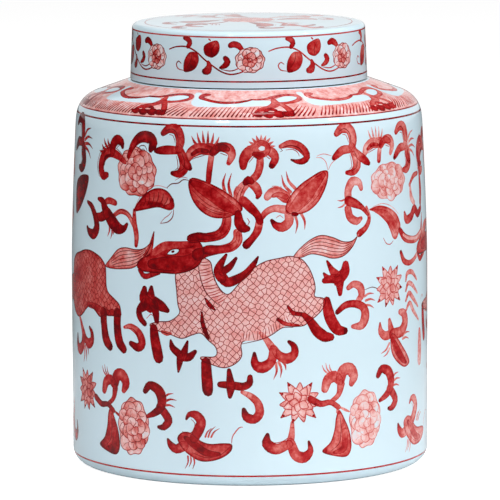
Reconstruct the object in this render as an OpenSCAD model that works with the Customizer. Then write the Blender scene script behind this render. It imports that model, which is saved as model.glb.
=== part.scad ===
// Ginger jar: a round lidded jar of glazed porcelain.
// The jar stands on a foot ring and closes with a cap-shaped lid, which sits over a low neck
// on a flat ledge of the shoulder and lifts straight off.
// Origin: centre of the foot ring, on the table. +Z is up. Millimetres.

/* [Jar] */
// Diameter of the jar at its widest
jar_d = 200; // [184:1:216]
// Height up to which the wall is upright
upright_h = 110; // [90:1:130]
// Height at which the wall ends and the shoulder begins
wall_h = 191.4; // [180:0.2:200]
// How far the wall has drawn in, on each side, where the shoulder begins
draw_in = 2.8; // [1:0.1:5]
// Thickness of the wall and the shoulder
wall_t = 5; // [4:0.5:7]

/* [Shoulder] */
// Radius of the turn from the wall to the sloping shoulder
shoulder_turn_r = 14.5; // [11:0.5:18]
// Slope of the shoulder, in degrees from level
shoulder_slope = 20; // [16:1:24]
// Outer diameter of the flat ledge that carries the lid
ledge_d = 133.6; // [131:0.2:138]

/* [Neck] */
// Outer diameter of the neck
neck_d = 119; // [114:0.5:120]
// Thickness of the neck
neck_t = 5; // [4:0.5:6]
// Height of the neck above the ledge
neck_h = 18.6; // [14:0.2:22]

/* [Foot] */
// Radius of the rounding from the wall down to the foot ring
edge_r = 8; // [6:0.5:10]
// Width of the foot ring where it touches the table
foot_w = 8; // [5:0.5:12]
// Depth of the recess inside the foot ring
recess_h = 3; // [2:0.5:4]
// Thickness of the floor
floor_t = 6; // [5:0.5:8]

/* [Lid] */
// Outer diameter of the lid at its rim
lid_d = 132.8; // [131:0.2:133.4]
// Height of the lid at its centre
lid_h = 32.8; // [30:0.2:36]
// How far the side of the lid has drawn in at its top, on each side
lid_draw_in = 1.2; // [0.5:0.1:2]
// Thickness of the lid's side
lid_t = 4.5; // [3.5:0.25:5]
// Thickness of the lid's top at its centre
lid_top_t = 6.2; // [5:0.2:7]
// Rounding between the side and the top of the lid
lid_edge_r = 2.8; // [2:0.2:4]

/* [Hidden] */
$fn = 120;

glaze = [0.84, 0.91, 0.94];

jar_r = jar_d / 2;
ledge_r = ledge_d / 2;
neck_r = neck_d / 2;
neck_in_r = neck_r - neck_t;
lid_r = lid_d / 2;
lid_in_r = lid_r - lid_t;

// The wall leans in by this much where it ends, and a long soft arc takes it on to the turn.
wall_lean = atan(1.5 * draw_in / (wall_h - upright_h));
turn_start = 10;
turn_end = 90 - shoulder_slope;
soft_r = 45;
wall_top = [jar_r - draw_in, wall_h];
soft_centre = wall_top - soft_r * [cos(wall_lean), sin(wall_lean)];
turn_centre = soft_centre + (soft_r - shoulder_turn_r) * [cos(turn_start), sin(turn_start)];
turn_top = turn_centre + shoulder_turn_r * [cos(turn_end), sin(turn_end)];

ledge_z = turn_top[1] + (turn_top[0] - ledge_r) * tan(shoulder_slope);
neck_top_z = ledge_z + neck_h;
lip_r = neck_t / 2;

floor_z = recess_h + floor_t;
floor_corner_r = 14;
foot_out_r = jar_r - edge_r;
foot_in_r = foot_out_r - foot_w;
foot_round = 1.2;

lid_top_z = ledge_z + lid_h;
lid_under_z = lid_top_z - lid_top_t;
lid_dome = 1.3;
lid_rim_round = 1;
lid_corner_r = 4;

// Points along an arc of a profile: centre as [radius, height], angles in degrees from outwards.
function arc(centre, r, from, to, steps = 12) = [
    for (i = [0:steps])
        let (a = from + (to - from) * i / steps)
        centre + r * [cos(a), sin(a)]
];

function reversed(points) = [for (i = [len(points) - 1:-1:0]) points[i]];

// Outer radius of the jar's wall at height z: upright, then gently drawn in.
function wall_r(z) =
    z <= upright_h ? jar_r
    : jar_r - draw_in * pow((z - upright_h) / (wall_h - upright_h), 1.5);

// The drawn-in stretch of the wall and the turn into the shoulder, set in by a thickness.
function side_points(inset, steps = 12) = concat(
    [for (i = [0:steps])
        let (z = upright_h + (wall_h - upright_h) * i / steps)
        [wall_r(z) - inset, z]],
    arc(soft_centre, soft_r - inset, wall_lean + 1, turn_start, 4),
    arc(turn_centre, shoulder_turn_r - inset, turn_start + 5, turn_end)
);

// Point where the underside of the shoulder meets the bore of the neck.
shoulder_under = turn_centre + (shoulder_turn_r - wall_t) * [cos(turn_end), sin(turn_end)];
neck_root = [neck_in_r, shoulder_under[1]
    + (shoulder_under[0] - neck_in_r) * tan(shoulder_slope)];

module jar_body() {
    outside = concat(
        arc([foot_out_r, edge_r], edge_r, -90, 0),
        side_points(0),
        [[ledge_r, ledge_z], [neck_r, ledge_z]],
        arc([neck_r - lip_r, neck_top_z - lip_r], lip_r, 0, 180)
    );
    inside = concat(
        [neck_root],
        reversed(side_points(wall_t)),
        arc([jar_r - wall_t - floor_corner_r, floor_z + floor_corner_r], floor_corner_r, 0, -90),
        [[0, floor_z]]
    );
    underneath = concat(
        [[0, recess_h], [foot_in_r - foot_round, recess_h]],
        arc([foot_in_r + foot_round, foot_round], foot_round, 180, 270, 6)
    );
    color(glaze)
        rotate_extrude()
            polygon(concat(outside, inside, underneath));
}

// Top of the lid at radius r: a shallow dome between the rounded edges.
function lid_crown_z(r) =
    lid_top_z - lid_dome * pow(r / (lid_r - lid_draw_in - lid_edge_r), 2);

module lid() {
    crown_r = lid_r - lid_draw_in - lid_edge_r;
    crown_steps = 10;
    side_top = [lid_r - lid_draw_in, lid_crown_z(crown_r) - lid_edge_r];
    outside = concat(
        arc([lid_r - lid_rim_round, ledge_z + lid_rim_round], lid_rim_round, -90, 0, 6),
        arc([crown_r, side_top[1]], lid_edge_r, 0, 88),
        [for (i = [crown_steps - 1:-1:0])
            let (r = crown_r * i / crown_steps)
            [r, lid_crown_z(r)]]
    );
    inside = concat(
        [[0, lid_under_z]],
        arc([lid_in_r - lid_corner_r, lid_under_z - lid_corner_r], lid_corner_r, 90, 0, 8),
        arc([lid_in_r + lid_rim_round, ledge_z + lid_rim_round], lid_rim_round, 180, 270, 6)
    );
    color(glaze)
        rotate_extrude()
            polygon(concat(outside, inside));
}

jar_body();
lid();
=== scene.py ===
"""Painted porcelain ginger jar with a lift-off lid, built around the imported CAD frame.

Both pieces of porcelain are turned skins. The painting is drawn first, as brush marks on flat
sheets in millimetres; each sheet is cut into triangles along the marks and wrapped on the clay,
so every stroke is part of the mesh and carries its own amount of iron-red pigment.
On the jar's sheet x is the distance round the wall from the front, and y the way up its
section, which is the height as far as the wall goes.
"""
import math

import bpy
import numpy as np
from mathutils import Euler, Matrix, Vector, geometry


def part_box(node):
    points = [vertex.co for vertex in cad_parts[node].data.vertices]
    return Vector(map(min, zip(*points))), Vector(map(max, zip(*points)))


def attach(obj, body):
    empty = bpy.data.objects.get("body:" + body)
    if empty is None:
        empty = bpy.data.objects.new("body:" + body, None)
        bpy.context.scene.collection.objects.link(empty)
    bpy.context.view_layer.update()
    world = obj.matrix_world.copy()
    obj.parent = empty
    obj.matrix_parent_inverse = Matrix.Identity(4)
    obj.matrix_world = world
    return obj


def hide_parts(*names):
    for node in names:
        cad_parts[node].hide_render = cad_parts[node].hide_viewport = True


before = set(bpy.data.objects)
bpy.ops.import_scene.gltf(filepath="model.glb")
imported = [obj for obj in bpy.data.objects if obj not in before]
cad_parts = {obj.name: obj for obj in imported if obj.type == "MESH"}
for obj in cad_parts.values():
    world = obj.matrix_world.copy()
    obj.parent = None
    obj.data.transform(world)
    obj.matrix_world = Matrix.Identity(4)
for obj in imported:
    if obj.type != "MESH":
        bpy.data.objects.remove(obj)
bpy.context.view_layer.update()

MM = 0.001
RNG = np.random.default_rng(20)

# Amounts of pigment, from bare glaze at 0 to the darkest outline at 1. The gap tone, past them all,
# marks a painted shadow: the dark line in the gap under the lid
PALE = 0.20
PINK = 0.30
ROSE = 0.42
CORAL = 0.56
RED = 0.70
DEEP = 0.82
DARK = 0.94
GAP_SHADE = 1.5

# How far the painting on the wall leans out of level, as a slope, and the height it leans about
LEAN = 0.0084
LEAN_Z = 100.0

# Painted light and shade: share of the pigment taken from marks at the right, where more light falls, and
# added to marks at the left, in shade
PAINTED_LIGHT_RIGHT = 0.26
PAINTED_SHADE_LEFT = 0.06

# Longest step along a painted curve and least half width of a stroke, in millimetres, and how
# far a stroke's width wavers
CURVE_STEP = 1.7
FINEST = 0.12
WAVER = 0.05

# Main sizes of the porcelain in millimetres; the widths and heights come from the frame
JAR_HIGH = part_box("jar_body")[1] / MM
LID_LOW, LID_HIGH = (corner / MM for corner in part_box("lid"))
JAR_R = JAR_HIGH.x
LID_R = LID_HIGH.x
LEDGE_Z = LID_LOW.z
NECK_TOP_Z = JAR_HIGH.z
LID_TOP_Z = LID_HIGH.z

# The jar's section. The wall is upright to UPRIGHT_H and drawn in by DRAW_IN up to WALL_H. A soft
# bend and then a tighter turn lead to the shoulder, which slopes in to the ledge
UPRIGHT_H = 110.0
WALL_H = 191.4
DRAW_IN = 2.8
WALL_T = 5.0
EDGE_R = 8.0
SOFT_R = 45.0
TURN_R = 14.5
TURN_START = 10.0
SHOULDER_SLOPE = 20.0
SHOULDER_TOP_R = 87.256
LEDGE_R = 66.8
NECK_R = 59.5
NECK_T = 5.0
RECESS_H = 3.0
FLOOR_Z = 9.0
FLOOR_CORNER_R = 14.0
FOOT_W = 8.0
FOOT_ROUND = 1.2

# The lid's section. Its top begins at CROWN_R and is domed
LID_DRAW_IN = 1.2
LID_T = 4.5
LID_TOP_T = 6.2
LID_EDGE_R = 2.8
LID_DOME = 1.3
LID_RIM_ROUND = 1.0
LID_CORNER_R = 4.0
CROWN_R = LID_R - LID_DRAW_IN - LID_EDGE_R

# Columns of the mesh round each piece; points nearer than TOUCH millimetres are taken as one
COLUMNS = 180
TOUCH = 1e-3

# Scales per millimetre on a beast's hide
SCALE_RATE = 0.34

# Radii that turn millimetres along a sheet into angles, on the lid's side and on plain skin
LID_SHEET_R = 66.0
PLAIN_SHEET_R = 60.0


# ---------------------------------------------------------------- turned profiles

def unit(vectors):
    """The vectors at length 1; those of no length stay as they are."""
    return vectors / np.maximum(np.linalg.norm(vectors, axis=1), 1e-9)[:, None]


def arc(centre, radius, start, end, steps=12):
    """Points [radius, height] along an arc of a profile; angles in degrees from outwards."""
    angles = np.radians(np.linspace(start, end, steps + 1))
    return np.array(centre) + radius * np.column_stack([np.cos(angles), np.sin(angles)])


def wall_radius(z):
    """Outer radius of the jar's wall: upright, then gently drawn in."""
    share = np.clip((z - UPRIGHT_H) / (WALL_H - UPRIGHT_H), 0, None)
    return JAR_R - DRAW_IN * share ** 1.5


WALL_LEAN = math.degrees(math.atan(1.5 * DRAW_IN / (WALL_H - UPRIGHT_H)))
SOFT_CENTRE = np.array([JAR_R - DRAW_IN, WALL_H]) - arc((0, 0), SOFT_R, WALL_LEAN, WALL_LEAN, 0)[0]
TURN_CENTRE = SOFT_CENTRE + arc((0, 0), SOFT_R - TURN_R, TURN_START, TURN_START, 0)[0]
TURN_END = 90 - SHOULDER_SLOPE


def side_points(inset, steps):
    """The drawn-in wall and the turn into the shoulder, set in by a thickness."""
    heights = np.linspace(UPRIGHT_H, WALL_H, steps)
    wall = np.column_stack([wall_radius(heights) - inset, heights])
    soft = arc(SOFT_CENTRE, SOFT_R - inset, WALL_LEAN, TURN_START, 5)[1:]
    turn = arc(TURN_CENTRE, TURN_R - inset, TURN_START, TURN_END, steps)[1:]
    return np.vstack([wall, soft, turn])


class Profile:
    """A turned outline, walked from its first point; gives radius, height and normal.

    Places along it are lengths, counted so that the one at zero_length reads zero_value.
    """

    def __init__(self, points, zero_length=0.0, zero_value=0.0):
        self.points = np.asarray(points, float)
        steps = np.linalg.norm(np.diff(self.points, axis=0), axis=1)
        length = np.concatenate([[0], np.cumsum(steps)])
        self.along = length - zero_length + zero_value
        tangent = np.gradient(self.points, self.along, axis=0)
        self.normals = unit(np.column_stack([tangent[:, 1], -tangent[:, 0]]))

    def at(self, value):
        """Radius, height and normal at a length along the outline."""
        columns = (self.points[:, 0], self.points[:, 1], self.normals[:, 0], self.normals[:, 1])
        return [np.interp(value, self.along, column) for column in columns]


def revolve(angle, radius, height, normal_r, normal_z):
    """Positions in metres and normals of turned points; angle 0 faces the viewer, at -Y."""
    sine, cosine = np.sin(angle), -np.cos(angle)
    places = np.stack([radius * sine, radius * cosine, height], axis=-1) * MM
    normals = np.stack([normal_r * sine, normal_r * cosine, normal_z], axis=-1)
    return places, normals


# ---------------------------------------------------------------- brush marks

def smooth_path(path, closed=False):
    """A curve through the given points (any number of columns), as close points."""
    pts = np.asarray(path, float)
    if closed:
        ring = np.vstack([pts[-1], pts, pts[0], pts[1]])
    else:
        ring = np.vstack([2 * pts[0] - pts[1], pts, 2 * pts[-1] - pts[-2]])
    out = []
    for a, b, c, d in zip(ring[:-3], ring[1:-2], ring[2:-1], ring[3:]):
        count = math.ceil(np.linalg.norm(c[:2] - b[:2]) / CURVE_STEP)
        t = (np.arange(count) / count)[:, None]
        out.append(b + 0.5 * t * (c - a + t * (2 * a - 5 * b + 4 * c - d
                                              + t * (3 * (b - c) + d - a))))
    if not closed:
        out.append(pts[-1:])
    return np.vstack(out)


class Mark:
    """One touch of the brush: a closed outline, inner points and its amounts of pigment.

    Extra pigment, edge, pools within soft mm of the outline. A mark sets the strength of the
    scale pattern where hide is given, and hides what lies under it where covers is true.
    """

    def __init__(self, outline, spine, tones, edge, soft, hide, covers):
        self.outline = outline
        self.spine = spine
        self.tones = tones
        self.edge = edge
        self.soft = soft
        self.hide = hide
        self.covers = covers

    def shifted(self, offset):
        """The same mark, moved along the sheet."""
        move = np.array([offset, 0.0])
        return Mark(self.outline + move, self.spine + move, self.tones, self.edge, self.soft,
                    self.hide, self.covers)

    def tone_at(self, pts):
        """Pigment at points inside the mark, and how far they are from its edge.

        The pigment changes along the spine and pools towards the edge.
        """
        gap = ((pts[:, None] - self.spine[None]) ** 2).sum(2)
        share = gap.argmin(1) / max(1, len(self.spine) - 1)
        tone = self.tones[0] + (self.tones[1] - self.tones[0]) * share
        rim = np.sqrt(((pts[:, None] - self.outline[None]) ** 2).sum(2).min(1))
        return tone + self.edge * (1 - np.clip(rim / self.soft, 0, 1)), rim

    def holds(self, pts):
        """Which points lie inside the outline, by winding number."""
        a = self.outline
        b = np.roll(a, -1, axis=0)
        y = pts[:, 1][:, None]
        side = ((b[:, 0] - a[:, 0]) * (y - a[:, 1])
                - (pts[:, 0][:, None] - a[:, 0]) * (b[:, 1] - a[:, 1]))
        up = (a[:, 1] <= y) & (b[:, 1] > y) & (side > 0)
        down = (a[:, 1] > y) & (b[:, 1] <= y) & (side < 0)
        return up.sum(1) != down.sum(1)


def painted_side_light(tones, side):
    """Share of its pigment that a mark keeps under the painted light and shade; side runs from -1 at the left
    to 1 at the right.

    Painted shade keeps the red full at the left and painted light makes it paler to the right, most of all in
    paler marks.
    """
    rightwards = min(max(0.35 + 1.6 * side, 0), 1)
    side_light_shift = PAINTED_LIGHT_RIGHT * rightwards + PAINTED_SHADE_LEFT * min(side, 0) - 0.02
    return 1 - side_light_shift * np.clip((0.95 - tones) / 0.25, 0.3, 1)


class Brush:
    """Draws on a sheet from a place of its own, turned and sized."""

    def __init__(self, marks, at=(0, 0), turn=0, size=1, strength=1, lean=0):
        cosine, sine = math.cos(math.radians(turn)), math.sin(math.radians(turn))
        self.marks = marks
        self.at = np.array(at, float)
        self.matrix = size * np.array([[cosine, -sine], [sine, cosine]])
        self.size = size
        self.strength = strength
        self.lean = lean

    def to(self, x, y, turn=0, size=1, strength=1):
        """A brush at a place on this one's own sheet."""
        inner = Brush(self.marks, (x, y), turn, size, self.strength * strength, self.lean)
        inner.at = self.matrix @ inner.at + self.at
        inner.matrix = self.matrix @ inner.matrix
        inner.size = self.size * size
        return inner

    def _leaned(self, points):
        """The points as they land on a wall whose painting sits a hair out of level."""
        x, y = points[:, 0], points[:, 1]
        return np.column_stack([x + self.lean * (y - LEAN_Z), y - self.lean * JAR_R * np.sin(x / JAR_R)])

    def _add(self, outline, spine, tone, edge, soft, hide, covers):
        """Lays a mark scaled by the brush's strength and by the painted side light and shade; the palest
        tones stay as given.
        """
        outline, spine = self._leaned(outline), self._leaned(spine)
        tones = np.atleast_1d(tone).astype(float)
        if len(tones) == 1:
            tones = np.repeat(tones, 2)
        side = math.sin(outline[:, 0].mean() / JAR_R)
        # painted light and shade: the mark's red is paled towards the right and deepened at the left
        load_and_side_light = self.strength * painted_side_light(tones, side)
        tones = np.where(tones > PINK + 0.05, tones * load_and_side_light, tones)
        self.marks.append(Mark(outline, spine, tones, edge, soft, hide, covers))

    def stroke(self, *path, tone=RED, edge=0.08, hide=None, covers=False, echo=False):
        """A stroke through (x, y, width) points; echo adds a fine line along its hollow side."""
        pts = np.array(path, float)
        pts = np.column_stack([pts[:, :2] @ self.matrix.T + self.at, pts[:, 2] * self.size])
        line = smooth_path(pts)
        half = np.maximum(line[:, 2:3] / 2, FINEST)
        tangent = unit(np.gradient(line[:, :2], axis=0))
        normal = np.column_stack([-tangent[:, 1], tangent[:, 0]])
        wobble = 1 + WAVER * RNG.standard_normal((len(line), 2)).cumsum(0) / len(line) ** 0.5
        left = line[:, :2] + normal * half * wobble[:, :1]
        right = line[:, :2] - normal * half * wobble[:, 1:]
        caps = []
        cap_angles = [45, 90, 135] if half.max() > 0.7 else [90]
        for end, sign in ((-1, 1), (0, -1)):
            angles = np.radians(cap_angles)[:, None]
            caps.append(line[end, :2] + half[end] * sign
                        * (normal[end] * np.cos(angles) + tangent[end] * np.sin(angles)))
        outline = np.vstack([left, caps[0], right[::-1], caps[1]])
        self._add(outline, line[:, :2], tone, edge, max(half.max() * 0.9, 0.3), hide, covers)
        if echo:
            self._echo(line[:, :2], tangent, normal, half[:, 0])

    def _echo(self, line, tangent, normal, half):
        """A fine line that runs beside a finished stroke, along its hollow side."""
        hollow = 1 if np.cross(tangent[0], tangent[-1]) > 0 else -1
        side = half + 0.9 * self.size * np.sin(np.linspace(0.35, math.pi, len(line)))
        path = line + normal * (side * hollow)[:, None]
        path = path[len(path) // 6:-1:2]
        if len(path) > 2:
            Brush(self.marks, lean=self.lean).line(*path, width=0.45, tone=RED)

    def line(self, *path, width=0.6, tone=DARK):
        """A thin even line through (x, y) points, finer at its ends."""
        last = len(path) - 1
        self.stroke(*[(x, y, width * (0.55 if i in (0, last) else 1))
                      for i, (x, y) in enumerate(path)], tone=tone, edge=0)

    def hairs(self, *spikes, width=1.1, tone=(ROSE, CORAL), bend=0.12):
        """Short tapering spikes, each (x, y, tip x, tip y)."""
        for x, y, tip_x, tip_y in spikes:
            mid = ((x + tip_x) / 2 - bend * (tip_y - y), (y + tip_y) / 2 + bend * (tip_x - x))
            self.stroke((x, y, width), (*mid, width * 0.75), (tip_x, tip_y, 0.25),
                        tone=tone, edge=0.05)

    def patch(self, *points, tone=ROSE, edge=0.1, soft=2.5, hide=None, covers=False,
              outlined=None, width=0.55):
        """A filled smooth shape. The pigment runs from its first point to the far side."""
        pts = np.array(points, float) @ self.matrix.T + self.at
        outline = smooth_path(pts, closed=True)
        centre = outline.mean(0)
        far = outline[np.linalg.norm(outline - outline[0], axis=1).argmax()]
        spine = outline[0] + (far - outline[0]) * np.linspace(0.08, 0.92, 7)[:, None]
        spine = spine * 0.7 + centre * 0.3
        if outlined is not None:
            self._add(outline, outline[:1], outlined, 0, 0.5, hide, covers)
            outline = self.inset(outline, width * self.size)
        self._add(outline, spine, tone, edge, soft * self.size, hide, covers or outlined is not None)

    @staticmethod
    def inset(outline, width):
        """A closed outline moved inwards by a width."""
        after, before = np.roll(outline, -1, axis=0), np.roll(outline, 1, axis=0)
        along = unit(after - before)
        turning = (outline[:, 0] * after[:, 1] - outline[:, 1] * after[:, 0]).sum()
        inwards = np.column_stack([-along[:, 1], along[:, 0]]) * np.sign(turning)
        return outline + inwards * width


def ring(marks, low, high, limits, tone):
    """A painted band right round the sheet."""
    span = np.linspace(limits[0], limits[1], COLUMNS + 1)
    lower = np.column_stack([span, np.full_like(span, low)])
    upper = np.column_stack([span, np.full_like(span, high)])
    tones = np.repeat(float(tone), 2)
    middle = (lower + upper)[::10] / 2
    marks.append(Mark(np.vstack([lower, upper[::-1]]), middle, tones, 0, 1, None, False))


# ---------------------------------------------------------------- flowers and leaves

def scalloped(radius_x, radius_y, lobes, depth, phase):
    """Points of a wavy round outline, like the edge of a blown flower."""
    angles = np.linspace(0, 2 * math.pi, lobes * 4, endpoint=False)
    swell = 1 - depth * (0.5 + 0.5 * np.cos(lobes * angles + phase))
    return [(radius_x * s * math.cos(a), radius_y * s * math.sin(a)) for a, s in zip(angles, swell)]


BLOWN = ((0.74, 9, 0.34), (0.45, 7, 0.31), (0.18, 4, 0.28))
BUTTON = ((0.64, 7, 0.42), (0.3, 5, 0.33), (0, 1, 0.24))


def peony(b, wide=15, tall=14, tone=ROSE, outline=CORAL, seed=0, heart=None, petals=BLOWN, line=0.42):
    """A blown peony: round petals heaped in rings, each one outlined, over a soft ground."""
    shift = 1.7 * seed
    heart = heart or tone
    b.patch(*scalloped(wide, tall, 9, 0.08, shift), tone=(tone, tone - 0.08), edge=0.06, soft=2,
            outlined=outline, width=line * 1.2)
    for share, count, size in petals:
        flesh = heart if share < 0.4 else tone
        for k in range(count):
            angle = 2 * math.pi * k / count + shift + share
            near = 0.9 + 0.1 * math.sin(5 * angle + shift)
            x, y = wide * share * near * math.cos(angle), tall * share * near * math.sin(angle)
            petal = b.to(x, y, turn=math.degrees(angle) - 90)
            reach = size * (wide + tall) / 2 * (0.86 + 0.16 * math.cos(3 * angle + shift))
            lift = 0.07 * math.sin(7 * angle + shift)
            petal.patch((-reach * 0.8, -reach * 0.5), (-reach, reach * 0.25), (-reach * 0.3, reach * 0.85),
                        (reach * 0.45, reach * 0.8), (reach, reach * 0.15), (reach * 0.7, -reach * 0.6),
                        tone=(flesh + 0.1 + lift, flesh - 0.1 + lift), edge=0.05, soft=1.5,
                        covers=True, outlined=outline, width=line)
            petal.line((-reach * 0.3, -reach * 0.3), (0, reach * 0.1), (0.1, reach * 0.5),
                       width=line * 0.8, tone=outline - 0.06)


def lotus_petal(b, length, wide, tone, tip):
    """A pointed petal along +X with a paler heart and perhaps a dark tip."""
    b.patch((0, 0), (length * 0.35, -wide), (length * 0.8, -wide * 0.55), (length, 0),
            (length * 0.8, wide * 0.55), (length * 0.35, wide),
            tone=(tone + 0.06, tone), edge=0.06, soft=1.5, covers=True, outlined=RED, width=0.5)
    if tip:
        b.stroke((length * 0.9, 0, 1.8), (length * 1.02, 0, 0.8), tone=DEEP, edge=0)


def lotus(b, tone):
    """A spiky open lotus: three rings of pointed petals, no two quite the same length."""
    for count, length, wide in ((11, 12, 2.9), (8, 9, 3.0), (5, 6, 2.6)):
        for k in range(count):
            angle = 360 * k / count + 8 * count
            grown = length * (1 + 0.07 * math.sin(2.3 * k + count))
            lotus_petal(b.to(0, 0, turn=angle), grown, wide, tone, tip=count > 8 and k % 3)


def trident(b, hairs=False, arm=(-9.5, -3.8), drop=(14.4, -8)):
    """A thick scroll with curled ends; arm is its pointed end at the left, drop at the right."""
    b.stroke((-7.5, 9.4, 3.6), (-4, 12, 5.2), (1, 11.6, 6), (3.4, 6.5, 5.8), (2.6, 1, 4.6),
             tone=(RED, CORAL), edge=0.12, echo=True)
    b.stroke((2.4, 2, 4.6), (5.4, -4, 5.8), (6, -9, 6), (3, -12.2, 4.8), (-1, -12.2, 2.8),
             tone=(CORAL, RED), edge=0.12, echo=True)
    b.stroke((4, -0.5, 4), (drop[0] * 0.6, drop[1] * 0.5, 4.6), (drop[0] * 0.87, drop[1] * 0.85, 4.4),
             (*drop, 3), tone=(CORAL, DEEP))
    b.stroke((2.5, 0.5, 4.2), (arm[0] * 0.4, arm[1] * 0.06 + 0.4, 4.8), (arm[0] * 0.8, arm[1] * 0.6, 4),
             (*arm, 2.8), tone=(CORAL, DEEP))
    b.line((-6, 10.6), (-2, 12), (1.4, 9), (2.2, 3), width=0.5, tone=DEEP)
    b.line((4, 0), (6, -5), (5.6, -9.4), (2, -11.6), width=0.45, tone=DEEP)
    if hairs:
        b.hairs((6, 4, 14, 8.5), (6.5, 2, 16, 3.5), (6.5, 0, 17, -1.5), (7, -1.5, 15, -6.5), width=1.8)


def palmette(b, hairs=6, stem=17):
    """Two arms that curl down from a crown of hairs, on a stem."""
    b.patch((-6, -3), (-7, 1), (-3, 3), (2, 2.6), (3, -2), (-1, -3.4), tone=(CORAL, CORAL + 0.1),
            edge=0.06)
    b.stroke((0, -1, 4.6), (-6, 0, 6.4), (-11.4, -2.6, 5.8), (-13.6, -6.4, 3.4),
             tone=(CORAL + 0.12, CORAL - 0.08), edge=0.12, echo=True)
    b.stroke((-2, -1.4, 2), (-7, -1, 2.6), (-11, -3.4, 2), tone=DEEP, edge=0)
    b.stroke((1, -2, 4.4), (4.4, 1, 5.2), (9.4, 0.6, 6.4), (11.8, -3, 5), (10, -7.4, 3),
             tone=(DEEP, CORAL - 0.1), edge=0.08, echo=True)
    b.stroke((3.6, 0.6, 3.4), (6.6, 1, 4), (9.4, 0, 3), tone=DEEP, edge=0)
    b.stroke((0.4, -2, 3.4), (-0.8, -0.6 * stem, 3.6), (-1.4, -stem - 1, 3.4),
             tone=(ROSE, DEEP), edge=0.06)
    for i in range(hairs):
        lean = i - (hairs - 1) / 2
        b.hairs((-3 + 1.7 * lean, 1, -3.6 + 3.2 * lean, 9.8 - 0.5 * lean ** 2), width=1.9,
                bend=-0.03 * lean, tone=(CORAL, ROSE))


def crown_palmette(b):
    """A palmette with a round spiky crown that holds a pale bead."""
    b.stroke((-2, 0.6, 5), (-6, -1.4, 6), (-8.6, -5.4, 5.6), (-9, -9.4, 4), tone=(CORAL, RED),
             edge=0.12, echo=True)
    b.stroke((3, 0, 5), (7, -1.6, 5.4), (9, -5, 4.6), (7, -8.8, 3.8), tone=(CORAL, RED),
             edge=0.12, echo=True)
    b.patch((-4, -3), (-3.6, 2), (0, 5), (4, 4.4), (6.4, 1), (5, -3), (0, -5), tone=(CORAL, RED),
            edge=0.08)
    for angle in range(10, 180, 20):
        a = math.radians(angle)
        b.hairs((1 + 4 * math.cos(a), 0.6 + 3.4 * math.sin(a), 1 + 8 * math.cos(a),
                 0.6 + 7.4 * math.sin(a)), width=2, bend=0, tone=(CORAL, ROSE))
    b.stroke((-2.6, -2.6, 3), (0, -3.4, 4.4), (1.6, -3, 3), tone=DEEP, edge=0)
    b.patch((-0.6, 0.4), (1, 1.9), (3, 1.3), (3, -0.2), (1, -0.7), tone=0.04, edge=0.05, covers=True)
    b.stroke((0.4, -4, 3.8), (0.2, -9, 4.2), (-1.2, -13.4, 4.2), (-4, -16.4, 4), tone=(CORAL, RED),
             edge=0.1)


def comma(b):
    """A fat curl, open to the left."""
    b.stroke((-7, 3.6, 2.6), (-2, 4.8, 4.6), (3, 3.6, 5.2), (6.8, 0.4, 5), (8, -2.6, 4.2),
             (5.8, -4.6, 4), (2.4, -4.8, 2.8), (-1, -3.8, 1.2), tone=(CORAL, DEEP), edge=0.12)
    b.line((-6, 3), (-1, 4), (3.6, 2.4), (6.4, -1), width=0.7, tone=DEEP)
    b.line((-7.4, 2.6), (-6, 1.4), (-7.2, 0.6), width=0.45)
    b.line((-4, 1.6), (0, 1.8), (2.8, 0), (3.6, -2), width=0.45, tone=RED)


def hair_groups(b, *places):
    """Groups of three thin hairs, each group at (x, y) leaning to (tip x, tip y)."""
    for x, y, tip_x, tip_y in places:
        for k in (-1, 0, 1):
            b.hairs((x + 1.6 * k, y, tip_x + 2.2 * k, tip_y - abs(k)), width=1.1)


def tufted_leaf(b, outline, band, veins):
    """A big leaf: coral flesh, a dark band through it and fine veins."""
    b.patch(*outline, tone=(CORAL + 0.04, CORAL - 0.04), edge=0.1, soft=3, outlined=DEEP, width=0.5)
    b.stroke(*band, tone=(DEEP, RED), edge=-0.08)
    for vein in veins:
        b.line(*vein, width=0.4, tone=RED)


def bean(b):
    """An arched leaf, base at the origin, that rises and comes down to a blunt tip."""
    b.patch((0, 0), (4, 6.2), (10, 11.4), (16, 13.6), (22, 12.6), (26, 8.4), (27, 3.8), (24, 1.8),
            (17, 3), (10, 1.6), (4, 0.2), tone=(RED, CORAL), edge=0.1, soft=2.5, outlined=DEEP, width=0.5)
    b.stroke((1.6, 1.2, 2), (6, 3.4, 3.4), (12, 4.6, 3), (19, 4.6, 2), tone=DEEP, edge=-0.1)
    b.stroke((21, 3.6, 2), (25, 4.4, 3.4), (25.4, 7.6, 2.4), tone=DEEP, edge=-0.05)
    for x in range(5, 24, 3):
        foot, top = (x * 0.86, 2.6 + 0.06 * x), (x, 11.6 - 0.05 * (x - 16) ** 2)
        b.line(foot, ((foot[0] + top[0]) / 2 + 0.8, (foot[1] + top[1]) / 2), top, width=0.5, tone=DEEP)
    b.line((1, 2), (5, 8.6), (11, 13.4), (17, 15), (22.6, 13.8), width=0.35, tone=ROSE)


def hanging_leaf(b):
    """A plain fleshy leaf that arches to the right and hangs to a blunt tip."""
    b.patch((0, 0), (8, 1.6), (17, -0.6), (24, -5), (27.2, -10.6), (26.4, -13), (23, -18), (19.6, -17.6),
            (17, -13), (14, -8.6), (9, -4.6), (4, -1.6), tone=(RED, CORAL), edge=0.1, soft=3,
            outlined=RED, width=0.5)
    b.stroke((5, -1, 2.4), (14, -4, 4.4), (20, -9.6, 5.4), (23, -14.4, 4), tone=(DEEP, RED), edge=-0.08)
    b.line((3, 1.4), (11, 2.4), (19, 0), (25.4, -4.6), width=0.4, tone=ROSE)


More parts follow.
